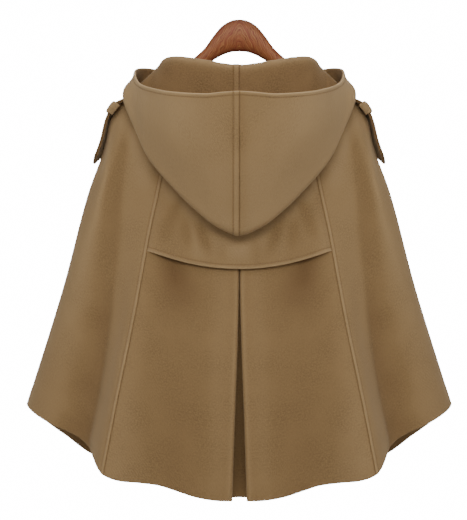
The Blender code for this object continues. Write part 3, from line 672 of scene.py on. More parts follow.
def drape_at(points, piece):
    """Height and painted light and shade of the named piece's soft troughs and ridges."""
    x, depth = np.abs(points[..., 0]), -points[..., 2]
    height, nap = np.zeros(x.shape), np.zeros(x.shape)
    uneven = 1 + DRAPE_UNEVEN * soft_noise(points, *UNEVEN["drape"])
    for rows in DRAPE.get(piece, ()):
        inside = np.clip(depth, rows[0][0], rows[-1][0])
        middle, inward, outward, rise, tone = np.moveaxis(through_rows(rows, inside), -1, 0)
        away = x - middle
        shape = bump(away, np.where(away > 0, outward, inward)) * uneven
        fade = 1 - ease((rows[0][0] - depth) / DRAPE_SETS_IN)
        height += rise * shape * fade
        nap += tone * shape * fade
    return height, nap


def rumple_at(points, piece):
    """Slow and quick unevenness of hung cloth. The slow lumps are longest downwards."""
    amount = bpy.context.scene.cape_cloth.rumple
    broad, fine, _ = PIECES[piece]
    slow = soft_noise(points * np.array([1, 1, 0.45]), *UNEVEN["slow"])
    quick = soft_noise(points, *UNEVEN["quick"])
    return amount * (broad * slow + fine * quick)


def hung_cloth(points, side, piece, calm, draped=1.0):
    """How far a hung piece's cloth stands out, and how much lighter or darker it is painted, as
    painted light and shade on its folds and lumps and over the whole piece. calm is 0 where a seam
    holds it still, and draped is 0 where its troughs and ridges don't reach."""
    folded, lie = drape_at(points, piece)
    rumpled = rumple_at(mirrored(points, side), piece)
    return (folded * draped + rumpled) * calm, lie + RUMPLE_PAINTED_SHADING * rumpled + PIECES[piece][2]


def placed_object(name, data):
    """A new object in the scene, at the origin and unturned."""
    made = bpy.data.objects.new(name, data)
    bpy.context.scene.collection.objects.link(made)
    return made


def new_mesh(name, points, faces, edges=()):
    """A mesh from points in millimetres."""
    mesh = bpy.data.meshes.new(name)
    mesh.from_pydata((np.asarray(points) * MM).tolist(), edges, faces)
    return mesh


def facing_out(mesh, points):
    """A closed mesh, smooth and turned right side out."""
    mesh.calc_loop_triangles()
    corners = points[[list(t.vertices) for t in mesh.loop_triangles]]
    if np.einsum("ij,ij->i", corners[:, 0], np.cross(corners[:, 1], corners[:, 2])).sum() < 0:
        mesh.flip_normals()
    mesh.shade_smooth()
    return mesh


def cloth_piece(name, outside, inside, uv, tone, tone_in=None, groove=0.0):
    """A closed cloth wall between two grids, its right side and wrong side in their own wool. A
    groove runs round its edge where two layers of cloth are sewn together."""
    rows, columns = outside.shape[:2]
    middle = (rows // 2, columns // 2)
    edge = np.cross(outside[middle[0] + 1, middle[1]] - outside[middle],
                    outside[middle[0], middle[1] + 1] - outside[middle])
    flipped = np.dot(edge, outside[middle] - inside[middle]) < 0
    count = rows * columns
    index = np.arange(count).reshape(rows, columns)
    face = np.stack([index[:-1, :-1], index[1:, :-1], index[1:, 1:], index[:-1, 1:]], -1)
    face = face.reshape(-1, 4)
    round_it = np.concatenate([index[0], index[1:, -1], index[-1, -2::-1], index[-2:0:-1, 0]])
    points = [outside.reshape(-1, 3), inside.reshape(-1, 3)]
    levels = [round_it, round_it + count]
    if groove:
        row, column = np.unravel_index(round_it, (rows, columns))
        inner = index[np.clip(row, 1, rows - 2), np.clip(column, 1, columns - 2)]
        rim = (points[0][round_it] + points[1][round_it]) / 2
        rim = rim + unit(points[0][inner] - points[0][round_it]) * groove
        points.append(rim)
        levels.insert(1, np.arange(len(round_it)) + 2 * count)
    faces = [face, (face + count)[:, ::-1]]
    for upper, lower in zip(levels, levels[1:]):
        faces.append(np.stack([upper, np.roll(upper, -1), np.roll(lower, -1), lower], -1))
    sizes = [len(f) for f in faces]
    faces = np.concatenate(faces)
    if flipped:
        faces = faces[:, ::-1]
    points = np.concatenate(points) * MM
    mesh = bpy.data.meshes.new(name)
    mesh.vertices.add(len(points))
    mesh.vertices.foreach_set("co", points.ravel())
    mesh.loops.add(faces.size)
    mesh.loops.foreach_set("vertex_index", faces.ravel())
    mesh.polygons.add(len(faces))
    mesh.polygons.foreach_set("loop_start", np.arange(0, faces.size, 4))
    side = np.ones(len(faces), int)
    side[:sizes[0]] = 0
    side[sizes[0] + sizes[1]:] = 0
    mesh.polygons.foreach_set("material_index", side)
    mesh.update(calc_edges=True)
    mesh.shade_smooth()
    flat = np.concatenate([uv.reshape(-1, 2)] * 2 + [uv.reshape(-1, 2)[round_it]] * bool(groove))
    layer = mesh.uv_layers.new(name="cloth")
    layer.data.foreach_set("uv", (flat * MM)[faces.ravel()].ravel())
    tones = [tone.ravel(), (tone if tone_in is None else tone_in).ravel()]
    # The groove round a sewn edge is given full painted shade
    tones = np.concatenate(tones + [np.full(len(round_it), -1.0)] * bool(groove))
    mesh.attributes.new("tone", "FLOAT", "POINT").data.foreach_set("value", tones)
    mesh.materials.append(wool(False))
    mesh.materials.append(wool(True))
    return placed_object(name, mesh)


def dress(made, *nodes):
    """A finished piece stands for its solids and rides with the coat."""
    if nodes:
        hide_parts(*nodes)
    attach(made, "root")
    return made


def cape_piece(name, side, grid, kinds, piece, lift=0.0, thin=None):
    """One panel of the cape with its creases, unevenness and finished edges. thin is the height
    that its wrong side stays above, over the cloth that it is laid on."""
    base = cape_surface(grid.angle, grid.level)
    normal = cape_frame(grid.angle, grid.level)[0]
    calm = ease(grid.top / CALM_NECK) * ease(grid.first / CALM_SEAM)
    calm = calm * ease(grid.last / CALM_SEAM)
    soft, nap = hung_cloth(base, side, piece, calm)
    rise, rounded, tone = finish_edges(grid, kinds)
    height = lift + soft + rise - rounded
    under = lift + soft - CLOTH + rounded
    if thin is not None:
        under = np.maximum(under, np.minimum(thin, height - THINNEST))
    outside = mirrored(base + normal * height[..., None], side)
    inside = mirrored(base + normal * under[..., None], side)
    uv = np.stack([grid.across, -grid.along], -1)
    # The colour's tone: the edges' painted highlight and shade with the folds' painted light and
    # shade
    return cloth_piece(name, outside, inside, uv, np.clip(tone + nap, -1, 1)), outside


def at_seam(direction, angle):
    """A function that gives a panel's edge at a seam, where the turnings of both panels meet."""
    return lambda level: angle - direction * SEAM_OVERLAP / cape_frame(angle, level)[1]


def add_node(tree, kind, values=(), links=(), **settings):
    """A node with its settings, the values of its inputs and the sockets linked to them."""
    node = tree.nodes.new(kind)
    for key, value in settings.items():
        setattr(node, key, value)
    for key, value in dict(values).items():
        node.inputs[key].default_value = value
    for key, source in dict(links).items():
        tree.links.new(source, node.inputs[key])
    return node


def new_material(name):
    """An empty node material and its tree."""
    material = bpy.data.materials.new(name)
    material.use_nodes = True
    material.node_tree.nodes.clear()
    return material, material.node_tree


def blend(tree, factor, first, second, mode="MIX"):
    """The colour between two sockets or colours."""
    colours = {key: (*c, 1.0) for key, c in ((6, first), (7, second)) if isinstance(c, tuple)}
    linked = {key: c for key, c in ((6, first), (7, second)) if not isinstance(c, tuple)}
    linked[0] = factor
    return add_node(tree, "ShaderNodeMix", colours, linked, data_type="RGBA",
                    blend_type=mode).outputs[2]


def ramp(tree, source, low, high):
    """A socket's value stretched from low and high to 0 and 1."""
    return add_node(tree, "ShaderNodeMapRange", {1: low, 2: high}, {0: source}).outputs[0]


def object_mm(tree):
    """A socket with an object's own coordinates in millimetres."""
    place = add_node(tree, "ShaderNodeTexCoord").outputs["Object"]
    return add_node(tree, "ShaderNodeVectorMath", {3: 1 / MM}, {0: place},
                    operation="SCALE").outputs[0]


def noise(tree, place, width, detail, **values):
    """Noise whose lumps are about width millimetres wide."""
    return add_node(tree, "ShaderNodeTexNoise", {"Scale": 1 / width, "Detail": detail, **values},
                    {"Vector": place}).outputs[0]


def sum_of(tree, factor, first, second):
    """A socket with a factor times the first socket and the second one added."""
    return add_node(tree, "ShaderNodeMath", {1: factor}, {0: first, 2: second},
                    operation="MULTIPLY_ADD").outputs[0]


def shade(tree, values, links):
    """The material's surface, from the values and links of its shader."""
    shader = add_node(tree, "ShaderNodeBsdfPrincipled", values, links)
    add_node(tree, "ShaderNodeOutputMaterial", links={"Surface": shader.outputs[0]})


def wool(wrong_side):
    """Melton wool: a fulled twill, brushed until the nap hides the weave, so it is matt and soft,
    with fine flecks and a faint diagonal. The point attribute tone adds a painted highlight on
    rounded edges and ridges and painted shade in seams and troughs. Its wrong side is brushed
    less, so it is more grainy, and its darker colour is partly painted shade."""
    name = "melton wool, wrong side" if wrong_side else "melton wool, brushed side"
    if name in bpy.data.materials:
        return bpy.data.materials[name]
    cloth = bpy.context.scene.cape_cloth
    material, tree = new_material(name)
    place = add_node(tree, "ShaderNodeUVMap", uv_map="cloth").outputs[0]
    mm = add_node(tree, "ShaderNodeVectorMath", {3: 1 / MM}, {0: place}, operation="SCALE")
    mm = mm.outputs[0]
    # Flecks of nap are about 2.6 mm, coarser than the real 1 mm so that they show
    nap = noise(tree, mm, cloth.fleck / MM, 3.0, Roughness=0.65)
    # Fibres lie down the cloth, 1.5 mm wide and 5 mm long
    combed = add_node(tree, "ShaderNodeMapping", {"Scale": (1.0, 0.28, 1.0)}, {"Vector": mm})
    fibre = noise(tree, combed.outputs[0], 1.5, 2.0)
    cloud = noise(tree, mm, 55.0, 2.0)
    # Twill lines are 3.4 mm apart, coarser than the real 1.2 mm so that they show. Diagonal bands
    # are 1.4 times as far apart as the straight ones that WAVE_BANDS is for
    twill = add_node(tree, "ShaderNodeTexWave", {"Scale": WAVE_BANDS / 2.4, "Distortion": 3.0,
                                                 "Detail": 1.0, "Detail Scale": 0.6},
                     {"Vector": mm}, wave_type="BANDS", bands_direction="DIAGONAL").outputs[1]
    # The wrong side's darker colour is partly painted shade for the insides
    base = tuple(cloth.wrong if wrong_side else cloth.face)
    darker = tuple(c * (0.66 if wrong_side else 0.78) for c in base)
    lighter = tuple(min(1.0, c * 1.16) for c in base)
    body = blend(tree, ramp(tree, nap, 0.36, 0.64), darker, lighter)
    hazy = ramp(tree, cloud, 0.3, 0.75)
    body = blend(tree, hazy, body, blend(tree, ramp(tree, fibre, 0.2, 0.8), base, lighter))
    # Painted highlight towards the light colour where tone is above 0, painted shade towards the
    # dark colour where it is below 0
    tone = add_node(tree, "ShaderNodeAttribute", attribute_name="tone").outputs["Fac"]
    body = blend(tree, ramp(tree, tone, 0.0, 1.4), body, tuple(cloth.light))
    body = blend(tree, ramp(tree, tone, 0.0, -1.25), body, tuple(cloth.dark))
    rough = add_node(tree, "ShaderNodeMath", {1: 0.45}, {0: fibre},
                     operation="MULTIPLY").outputs[0]
    relief = sum_of(tree, 0.55 if wrong_side else 0.4, nap, rough)
    relief = sum_of(tree, 0.12, twill, relief)
    bent = add_node(tree, "ShaderNodeBump", {"Strength": 0.8, "Distance": 0.0007},
                    {"Height": relief}).outputs[0]
    shade(tree, {"Roughness": 0.9, "Specular IOR Level": 0.2, "Sheen Weight": 0.22,
                 "Sheen Roughness": 0.45, "Sheen Tint": (1.0, 0.83, 0.6, 1.0)},
          {"Base Color": body, "Normal": bent})
    return material


def topstitch_thread():
    """Corespun polyester thread: twisted, with a slight shine along its turns."""
    name = "polyester topstitch thread"
    if name in bpy.data.materials:
        return bpy.data.materials[name]
    material, tree = new_material(name)
    # Plies turn every 0.5 mm
    ply = noise(tree, object_mm(tree), 0.5, 1.0)
    thread = tuple(bpy.context.scene.cape_stitches.thread)
    body = blend(tree, ramp(tree, ply, 0.35, 0.65), tuple(c * 0.8 for c in thread), thread)
    bent = add_node(tree, "ShaderNodeBump", {"Strength": 0.5, "Distance": 0.0001}, {"Height": ply})
    shade(tree, {"Roughness": 0.6, "Sheen Weight": 0.1},
          {"Base Color": body, "Normal": bent.outputs[0]})
    return material


def varnished_beech():
    """Red-stained beech under satin varnish: growth rings arch over the neck and run along the
    arms, fine pores are dark, and the varnish leaves a soft shine. Its colour is darker towards
    the top and bottom of each rounded section."""
    trim = bpy.context.scene.cape_trim
    material, tree = new_material("red-stained beech, satin varnish")
    mm = object_mm(tree)
    axes = add_node(tree, "ShaderNodeSeparateXYZ", links={0: mm}).outputs
    # Arches: each ring is a hyperbola that is pointed over the neck and runs straight down the
    # arms, 1.9 mm down for each 1 mm along
    square = add_node(tree, "ShaderNodeMath", {2: 4.0 ** 2}, {0: axes[0], 1: axes[0]},
                      operation="MULTIPLY_ADD").outputs[0]
    reach = add_node(tree, "ShaderNodeMath", links={0: square}, operation="SQRT").outputs[0]
    arch = sum_of(tree, 1.9, reach, axes[2])
    arch = sum_of(tree, 22.0, noise(tree, mm, 15.0, 3.0), arch)
    rings = add_node(tree, "ShaderNodeCombineXYZ", links={0: arch})
    grain = add_node(tree, "ShaderNodeTexWave",
                     {"Scale": WAVE_BANDS / (trim.grain / MM), "Distortion": 2.5, "Detail": 2.0,
                      "Detail Scale": 2.0},
                     {"Vector": rings.outputs[0]}, wave_type="BANDS", bands_direction="X",
                     wave_profile="SAW").outputs[1]
    # Pores are 0.6 mm wide and about 6 mm long, and follow the arches
    along = add_node(tree, "ShaderNodeCombineXYZ", links={0: arch, 1: axes[0], 2: axes[1]})
    along = add_node(tree, "ShaderNodeMapping", {"Scale": (1.6, 0.16, 0.5)},
                     {"Vector": along.outputs[0]})
    pores = noise(tree, along.outputs[0], 1.0, 2.0)
    patch = noise(tree, along.outputs[0], 9.0, 1.0)
    streak = blend(tree, ramp(tree, patch, 0.42, 0.6), tuple(trim.wood), tuple(trim.wood_light))
    plain = tuple(0.7 * a + 0.3 * b for a, b in zip(trim.wood, trim.wood_light))
    body = blend(tree, ramp(tree, grain, 0.1, 0.6), streak, plain)
    body = blend(tree, ramp(tree, grain, 0.72, 0.95), body,
                 tuple(0.7 * a + 0.3 * b for a, b in zip(trim.wood, trim.wood_dark)))
    body = blend(tree, ramp(tree, pores, 0.52, 0.7), body, tuple(trim.wood_dark))
    tone = add_node(tree, "ShaderNodeAttribute", attribute_name="tone").outputs["Fac"]
    # Darker towards the top and bottom of each section, by the point attribute tone
    body = blend(tree, ramp(tree, tone, 0.0, -1.1), body, tuple(trim.wood_dark))
    bent = add_node(tree, "ShaderNodeBump", {"Strength": 0.25, "Distance": 0.0002},
                    {"Height": grain}).outputs[0]
    shade(tree, {"Roughness": 0.55, "Specular IOR Level": 0.2, "Coat Weight": 0.12,
                 "Coat Roughness": 0.3}, {"Base Color": body, "Normal": bent})
    return material


def polished_horn():
    """Dark horn, turned and polished: glossy, with paler streaks that run across the button."""
    trim = bpy.context.scene.cape_trim
    material, tree = new_material("polished dark horn")
    drawn = add_node(tree, "ShaderNodeMapping", {"Scale": (0.06, 0.2, 0.3),
                                                 "Rotation": (0.0, 0.6, 0.0)},
                     {"Vector": object_mm(tree)})
    streak = noise(tree, drawn.outputs[0], 1.0, 4.0, Distortion=0.6)
    body = blend(tree, ramp(tree, streak, 0.45, 0.72), tuple(trim.horn), tuple(trim.horn_light))
    rough = add_node(tree, "ShaderNodeMapRange", {3: 0.18, 4: 0.32}, {0: streak}).outputs[0]
    shade(tree, {"Coat Weight": 0.3}, {"Base Color": body, "Roughness": rough})
    return material


def stitch_tree():
    """Geometry nodes that lay one stitch after another along every path."""
    name = "topstitch"
    if name in bpy.data.node_groups:
        return bpy.data.node_groups[name]
    tree = bpy.data.node_groups.new(name, "GeometryNodeTree")
    sockets = tree.interface
    sockets.new_socket("Path", in_out="INPUT", socket_type="NodeSocketGeometry")
    for label in ("Pitch", "Stitch", "Thickness", "Unevenness"):
        sockets.new_socket(label, in_out="INPUT", socket_type="NodeSocketFloat")
    sockets.new_socket("Thread", in_out="INPUT", socket_type="NodeSocketMaterial")
    sockets.new_socket("Stitches", in_out="OUTPUT", socket_type="NodeSocketGeometry")
    given = add_node(tree, "NodeGroupInput").outputs
    path = add_node(tree, "GeometryNodeMeshToCurve", links={0: given["Path"]})
    spaced = add_node(tree, "GeometryNodeResampleCurve", mode="LENGTH",
                      links={"Curve": path.outputs[0], "Length": given["Pitch"]})
    way = add_node(tree, "GeometryNodeInputTangent")
    turned = add_node(tree, "FunctionNodeAlignRotationToVector", axis="X",
                      links={"Vector": way.outputs[0]})
    far = add_node(tree, "ShaderNodeCombineXYZ", links={
        0: given["Unevenness"], 1: given["Unevenness"], 2: given["Unevenness"]})
    near = add_node(tree, "ShaderNodeVectorMath", {1: (-1.0, -1.0, -1.0)}, {0: far.outputs[0]},
                    operation="MULTIPLY")
    stray = add_node(tree, "FunctionNodeRandomValue", {"Seed": 7}, data_type="FLOAT_VECTOR")
    tree.links.new(near.outputs[0], stray.inputs[0])
    tree.links.new(far.outputs[0], stray.inputs[1])
    moved = add_node(tree, "GeometryNodeSetPosition",
                     links={"Geometry": spaced.outputs[0], "Offset": stray.outputs[0]})
    shape = add_node(tree, "GeometryNodeMeshUVSphere", {"Segments": 6, "Rings": 5, "Radius": 0.5})
    size = add_node(tree, "ShaderNodeCombineXYZ", links={
        0: given["Stitch"], 1: given["Thickness"], 2: given["Thickness"]})
    laid = add_node(tree, "GeometryNodeInstanceOnPoints", links={
        "Points": moved.outputs[0], "Instance": shape.outputs[0],
        "Rotation": turned.outputs[0], "Scale": size.outputs[0]})
    real = add_node(tree, "GeometryNodeRealizeInstances", links={0: laid.outputs[0]})
    smooth = add_node(tree, "GeometryNodeSetShadeSmooth", links={0: real.outputs[0]})
    dyed = add_node(tree, "GeometryNodeSetMaterial", links={
        "Geometry": smooth.outputs[0], "Material": given["Thread"]})
    add_node(tree, "NodeGroupOutput", links={0: dyed.outputs[0]})
    return tree


def plain_mesh(made):
    """An object's modifiers become its own mesh."""
    graph = bpy.context.evaluated_depsgraph_get()
    graph.update()
    made.data = bpy.data.meshes.new_from_object(made.evaluated_get(graph))
    made.modifiers.clear()
    return made


def stitching(name, paths):
    """Stitches along paths of points in millimetres."""
    chosen = bpy.context.scene.cape_stitches
    points = np.concatenate(paths)
    ends = np.cumsum([len(path) for path in paths])
    edges = [(i, i + 1) for i in range(len(points) - 1) if i + 1 not in ends]
    made = placed_object(name, new_mesh(name, points, [], edges))
    tree = stitch_tree()
    laid = made.modifiers.new("topstitch", "NODES")
    laid.node_group = tree
    given = {"Pitch": chosen.pitch, "Stitch": chosen.stitch, "Thickness": chosen.thick,
             "Unevenness": STITCH_STRAY * MM, "Thread": topstitch_thread()}
    for item in tree.interface.items_tree:
        if item.name in given:
            laid[item.identifier] = given[item.name]
    plain_mesh(made)
    return dress(made)


def back_angles(level):
    """Where the fold of the pleat starts, half the opening from the centre."""
    return angle_at_x(pleat_gap(level) + PLEAT_TURN + CLOTH / 2, level)


def pleat_gap(level):
    """Half the width of the open pleat."""
    share = ease((level - YOKE_LEVEL) / (PLEAT_STEP_END - YOKE_LEVEL))
    share = share / ease(PLEAT_OPEN_SHARE)
    return PLEAT_CLOSED + (PLEAT_OPEN - PLEAT_CLOSED) * np.minimum(1.0, share)


def pleat_fall(level):
    """How far the underlay falls back into the coat."""
    return PLEAT_FALL_BACK * ease((level - YOKE_LEVEL) / (1 - YOKE_LEVEL))


def yoke_seam(direction):
    """The level half a seam gap below the yoke's seam, or above it where direction is -1."""
    return YOKE_LEVEL + direction * SEAM_GAP / 2 / float(cape_frame(10.0, YOKE_LEVEL)[2])


def pleated_back(side):
    """Half the lower back, which turns under at the pleat."""
    hand = "right" if side > 0 else "left"
    grid = panel_grid(at_seam(-1, BACK_SEAM), back_angles, yoke_seam(1), 1.0,
                      CLOSE_STEPS, PLAIN_STEPS, PLAIN_STEPS, CLOSE_STEPS)
    base = cape_surface(grid.angle, grid.level)
    normal = cape_frame(grid.angle, grid.level)[0]
    calm = ease(grid.top / CALM_YOKE) * ease(grid.first / CALM_SEAM)
    calm = calm * ease(grid.last / CALM_FOLD)
    soft, nap = hung_cloth(base, side, "back", calm)
    rise, rounded, tone = finish_edges(grid, {"first": "seam", "end": "hem"})
    # Painted highlight along the pleat's fold, with the folds' painted light and shade
    tone = np.clip(tone + 0.15 * bump(grid.last, 3.0) + nap, -1, 1)
    outside = base + normal * (soft + rise - rounded)[..., None]
    inside = base + normal * (soft + rounded - CLOTH)[..., None]
    rows = grid.level[:, 0]
    edge_normal = normal[:, -1]
    pivot = base[:, -1] - edge_normal * (CLOTH / 2 + PLEAT_TURN)
    centre = np.array([-1.0, 0.0, 0.0])
    turns = np.linspace(0, math.pi, TURN_STEPS)[1:-1]
    squeeze = rounded[:, -1:, None]
    ray = edge_normal[:, None] * np.cos(turns)[:, None] + centre * np.sin(turns)[:, None]
    fold_out = pivot[:, None] + ray * (PLEAT_TURN + CLOTH / 2 - squeeze)
    fold_in = pivot[:, None] + ray * (PLEAT_TURN - CLOTH / 2 + squeeze)
    reach = np.linspace(0, PLEAT_DEPTH, UNDER_STEPS)[None, :]
    x = np.maximum(pleat_gap(rows)[:, None] + reach, base[:, -1:, 0])
    under = angle_at_x(x, rows[:, None])
    low, low_normal = cape_surface(under, rows[:, None]), cape_frame(under, rows[:, None])[0]
    depth = 2 * PLEAT_TURN + CLOTH
    fall = np.array([0.0, 1.0, 0.0]) * (pleat_fall(rows)[:, None] * reach / PLEAT_DEPTH)[..., None]
    under_out = low - low_normal * (depth - squeeze) + fall
    under_in = low - low_normal * (depth - CLOTH + squeeze) + fall
    outside = mirrored(np.concatenate([outside, fold_out, under_out], axis=1), side)
    inside = mirrored(np.concatenate([inside, fold_in, under_in], axis=1), side)
    added = outside.shape[1] - base.shape[1]
    # Painted shade on the cloth turned under into the pleat, darker the deeper it goes
    pressed = np.linspace(0.0, PLEAT_PAINTED_SHADE, added)[None, :]
    tone = np.concatenate([tone, tone[:, -1:] * 0.5 + pressed], axis=1)
    steps = np.linalg.norm(np.diff(outside, axis=1), axis=2)
    across = np.concatenate([np.zeros((len(rows), 1)), np.cumsum(steps, axis=1)], axis=1)
    uv = np.stack([across, np.repeat(-grid.along[:, :1], across.shape[1], axis=1)], -1)
    made = cloth_piece(f"lower_back_{hand}", outside, inside, uv, tone)
    dress(made, f"back_{hand}")


def pleat_underlay():
    """The strip behind the open pleat."""
    start = yoke_seam(1)
    rows = close_at_ends(1.0, (0.0,), UNDERLAY_HEM_STEPS, UNDERLAY_ROWS)
    rows = start + (1.0 - start) * rows
    share = np.linspace(-1, 1, UNDERLAY_COLUMNS)[None, :]
    x = share * (pleat_gap(rows)[:, None] + PLEAT_DEPTH)
    angle = angle_at_x(np.abs(x), rows[:, None])
    base, normal = cape_surface(angle, rows[:, None]), cape_frame(angle, rows[:, None])[0]
    side = np.stack([np.where(x < 0, -1.0, 1.0), np.ones_like(x), np.ones_like(x)], -1)
    base, normal = base * side, normal * side
    away = (1.0 - rows)[:, None] * cape_frame(angle, rows[:, None])[2]
    grid = SimpleNamespace(first=away, end=away, across=x + 0 * away, along=away)
    rise, rounded, tone = finish_edges(grid, {"end": "hem"})
    depth = 2 * PLEAT_TURN + CLOTH + LAYER_GAP
    fall = np.array([0.0, 1.0, 0.0]) * pleat_fall(rows)[:, None, None]
    wave = rumple_at(base, "underlay") * ease(away / CALM_HEM)
    outside = base + normal * (wave + rise - rounded - depth)[..., None] + fall
    inside = base + normal * (wave + rounded - depth - CLOTH)[..., None] + fall
    down = np.cumsum(np.linalg.norm(np.diff(base, axis=0), axis=2), axis=0)
    down = np.concatenate([np.zeros((1, x.shape[1])), down])
    uv = np.stack([x + 0 * down, -down], -1)
    # The underlay is painted darker, as painted shade in the pleat
    made = cloth_piece("pleat_strip", outside, inside, uv, tone + PIECES["underlay"][2])
    dress(made, "pleat_underlay")


def whole_back(start, end, end_steps, level_at=None):
    """A grid from one back seam to the other."""
    grid = panel_grid(lambda v: -at_seam(-1, BACK_SEAM)(v), at_seam(-1, BACK_SEAM), start, end,
                      CLOSE_STEPS, CLOSE_STEPS, PLAIN_STEPS, end_steps)
    if level_at:
        grid.level = level_at(grid.angle, grid.level)
    return grid


def flap_level(angle, level):
    """The flap's lower edge is a little flatter than the rings of the cape."""
    return level + FLAP_END_DROP * (level / FLAP_BOTTOM) ** 2 * (angle / BACK_SEAM) ** 2


class CAPE_OT_back(bpy.types.Operator):
    """Sew the yoke, the storm flap and the pleated lower back"""

    bl_idname = "cape.back"
    bl_label = "Back"

    def execute(self, context):
        grid = whole_back(0.0, yoke_seam(-1), PLAIN_STEPS)
        kinds = {"first": "seam", "last": "seam"}
        yoke, outside = cape_piece("upper_back", 1, grid, kinds, "yoke")
        dress(yoke, "back_yoke")
        pleat_underlay()
        for side in (-1, 1):
            pleated_back(side)

        grid = whole_back(FLAP_TOP, FLAP_BOTTOM, CLOSE_STEPS, flap_level)
        loose = ease((grid.level - FLAP_FREE_FROM) / (FLAP_BOTTOM - FLAP_FREE_FROM))
        stand = FLAP_STAND * loose * (1 - np.abs(grid.angle / BACK_SEAM) ** 4)
        tuck = ease(np.minimum(grid.first, grid.last) / FLAP_TUCK)
        lift = FLAP_SUNK + (LAYER_GAP + CLOTH - FLAP_SUNK + stand) * tuck
        kinds = {"first": "seam", "last": "seam", "end": "turned"}
        flap, outside = cape_piece("storm_flap_cloth", 1, grid, kinds, "flap", lift, FLAP_OVER_YOKE)
        sewn = stitching("stitches_storm_flap", [outside[-1 - STITCH_STEP, 4:-4]])
        dress(flap, "storm_flap")
        return {"FINISHED"}


class CAPE_OT_sides(bpy.types.Operator):
    """Sew the four panels over the arms"""

    bl_idname = "cape.sides"
    bl_label = "Sides"

    def execute(self, context):
        for side, hand in ((-1, "left"), (1, "right")):
            grid = panel_grid(at_seam(1, BACK_SEAM), at_seam(-1, SHOULDER_SEAM), 0.0, 1.0,
                              CLOSE_STEPS, CLOSE_STEPS, PLAIN_STEPS, CLOSE_STEPS)
            kinds = {"first": "lapped", "last": "lapped", "end": "hem"}
            made, outside = cape_piece(f"arm_back_{hand}", side, grid, kinds, "side_back",
                                       shoulder_rise(grid))
            paths = [outside[2:-1, STITCH_STEP], outside[2:-1, -1 - STITCH_STEP]]
            sewn = stitching(f"stitches_arm_back_{hand}", paths)
            dress(made, f"side_back_{hand}")

            grid = panel_grid(at_seam(1, SHOULDER_SEAM), at_seam(-1, FRONT_SEAM), 0.0, 1.0,
                              CLOSE_STEPS, CLOSE_STEPS, PLAIN_STEPS, CLOSE_STEPS)
            kinds = {"first": "seam", "last": "lapped", "end": "hem"}
            made, outside = cape_piece(f"arm_front_{hand}", side, grid, kinds, "side_front",
                                       shoulder_rise(grid))
            sewn = stitching(f"stitches_arm_front_{hand}", [outside[2:-1, -1 - STITCH_STEP]])
            dress(made, f"side_front_{hand}")
        return {"FINISHED"}


class CAPE_OT_fronts(bpy.types.Operator):
    """Sew the two fronts, the right one lapped over the left"""

    bl_idname = "cape.fronts"
    bl_label = "Fronts"

    def execute(self, context):
        def lap_edge(level):
            return angle_at_x(LAP_END, level, True)

        for side, hand in ((-1, "left"), (1, "right")):
            grid = panel_grid(at_seam(1, FRONT_SEAM), lap_edge, 0.0, 1.0,
                              CLOSE_STEPS, CLOSE_STEPS, PLAIN_STEPS, CLOSE_STEPS)
            half_width = through_rows(RINGS, grid.level)[..., 0]
            x = half_width * np.sin(np.radians(grid.angle))
            lift = np.zeros_like(x)
            if side > 0:
                lift = (CLOTH + LAYER_GAP) * ease((LAP_START - x) / (LAP_START - LAP_FULL))
            kinds = {"first": "seam", "last": "turned", "end": "hem"}
            made, outside = cape_piece(f"front_panel_{hand}", side, grid, kinds, "front", lift)
            sewn = stitching(f"stitches_front_{hand}", [outside[2:-1, -1 - STITCH_STEP]])
            dress(made, f"front_{hand}")
        return {"FINISHED"}


def neck_foot(place):
    """The hood's foot on the neck seam, with the directions out of the cape and down it."""
    seam = cape_surface(place, 0.0)
    out = cape_frame(place, 0.0)[0]
    down = unit(cape_surface(place, 0.002) - seam)
    return seam - out * CLOTH / 2 - down * NECK_GAP, out, down


def hood_section(place):
    """Points that one section of the hood passes through, from the neck to its free edge."""
    # The second row, mirrored, makes the curve run on across the centre
    over_the_middle = np.array([-1, -1, 1, 1, -1, 1, 1, -1, 1, 1, 1, 1])
    row = through_rows([over_the_middle * HOOD_SECTIONS[1], *HOOD_SECTIONS], place)
    roll, fold, edge, pouch, swell = row[0:3], row[3:6], row[6:9], row[9], row[10]
    foot, _, down = neck_foot(place)
    up_z = np.array([0.0, 0.0, 1.0])
    away = unit((roll - foot) * np.array([1.0, 1.0, 0.0]))
    over = roll + away * HOOD_ROLL - up_z * HOOD_ROLL
    up = unit((over + edge) / 2 - fold)
    across = unit((edge - over) - up * np.dot(edge - over, up))
    half = pouch / 2
    bend = half * math.sqrt(0.5)
    centre = fold + up * half
    inner, outer = centre - across * half, centre + across * half
    return np.array([
        foot, foot - down * 3.0 + up_z * 5.0, roll, over, (over + inner) / 2, inner,
        centre - (across + up) * bend, fold, centre + (across - up) * bend, outer,
        (outer + edge) / 2 + across * swell, edge,
    ])


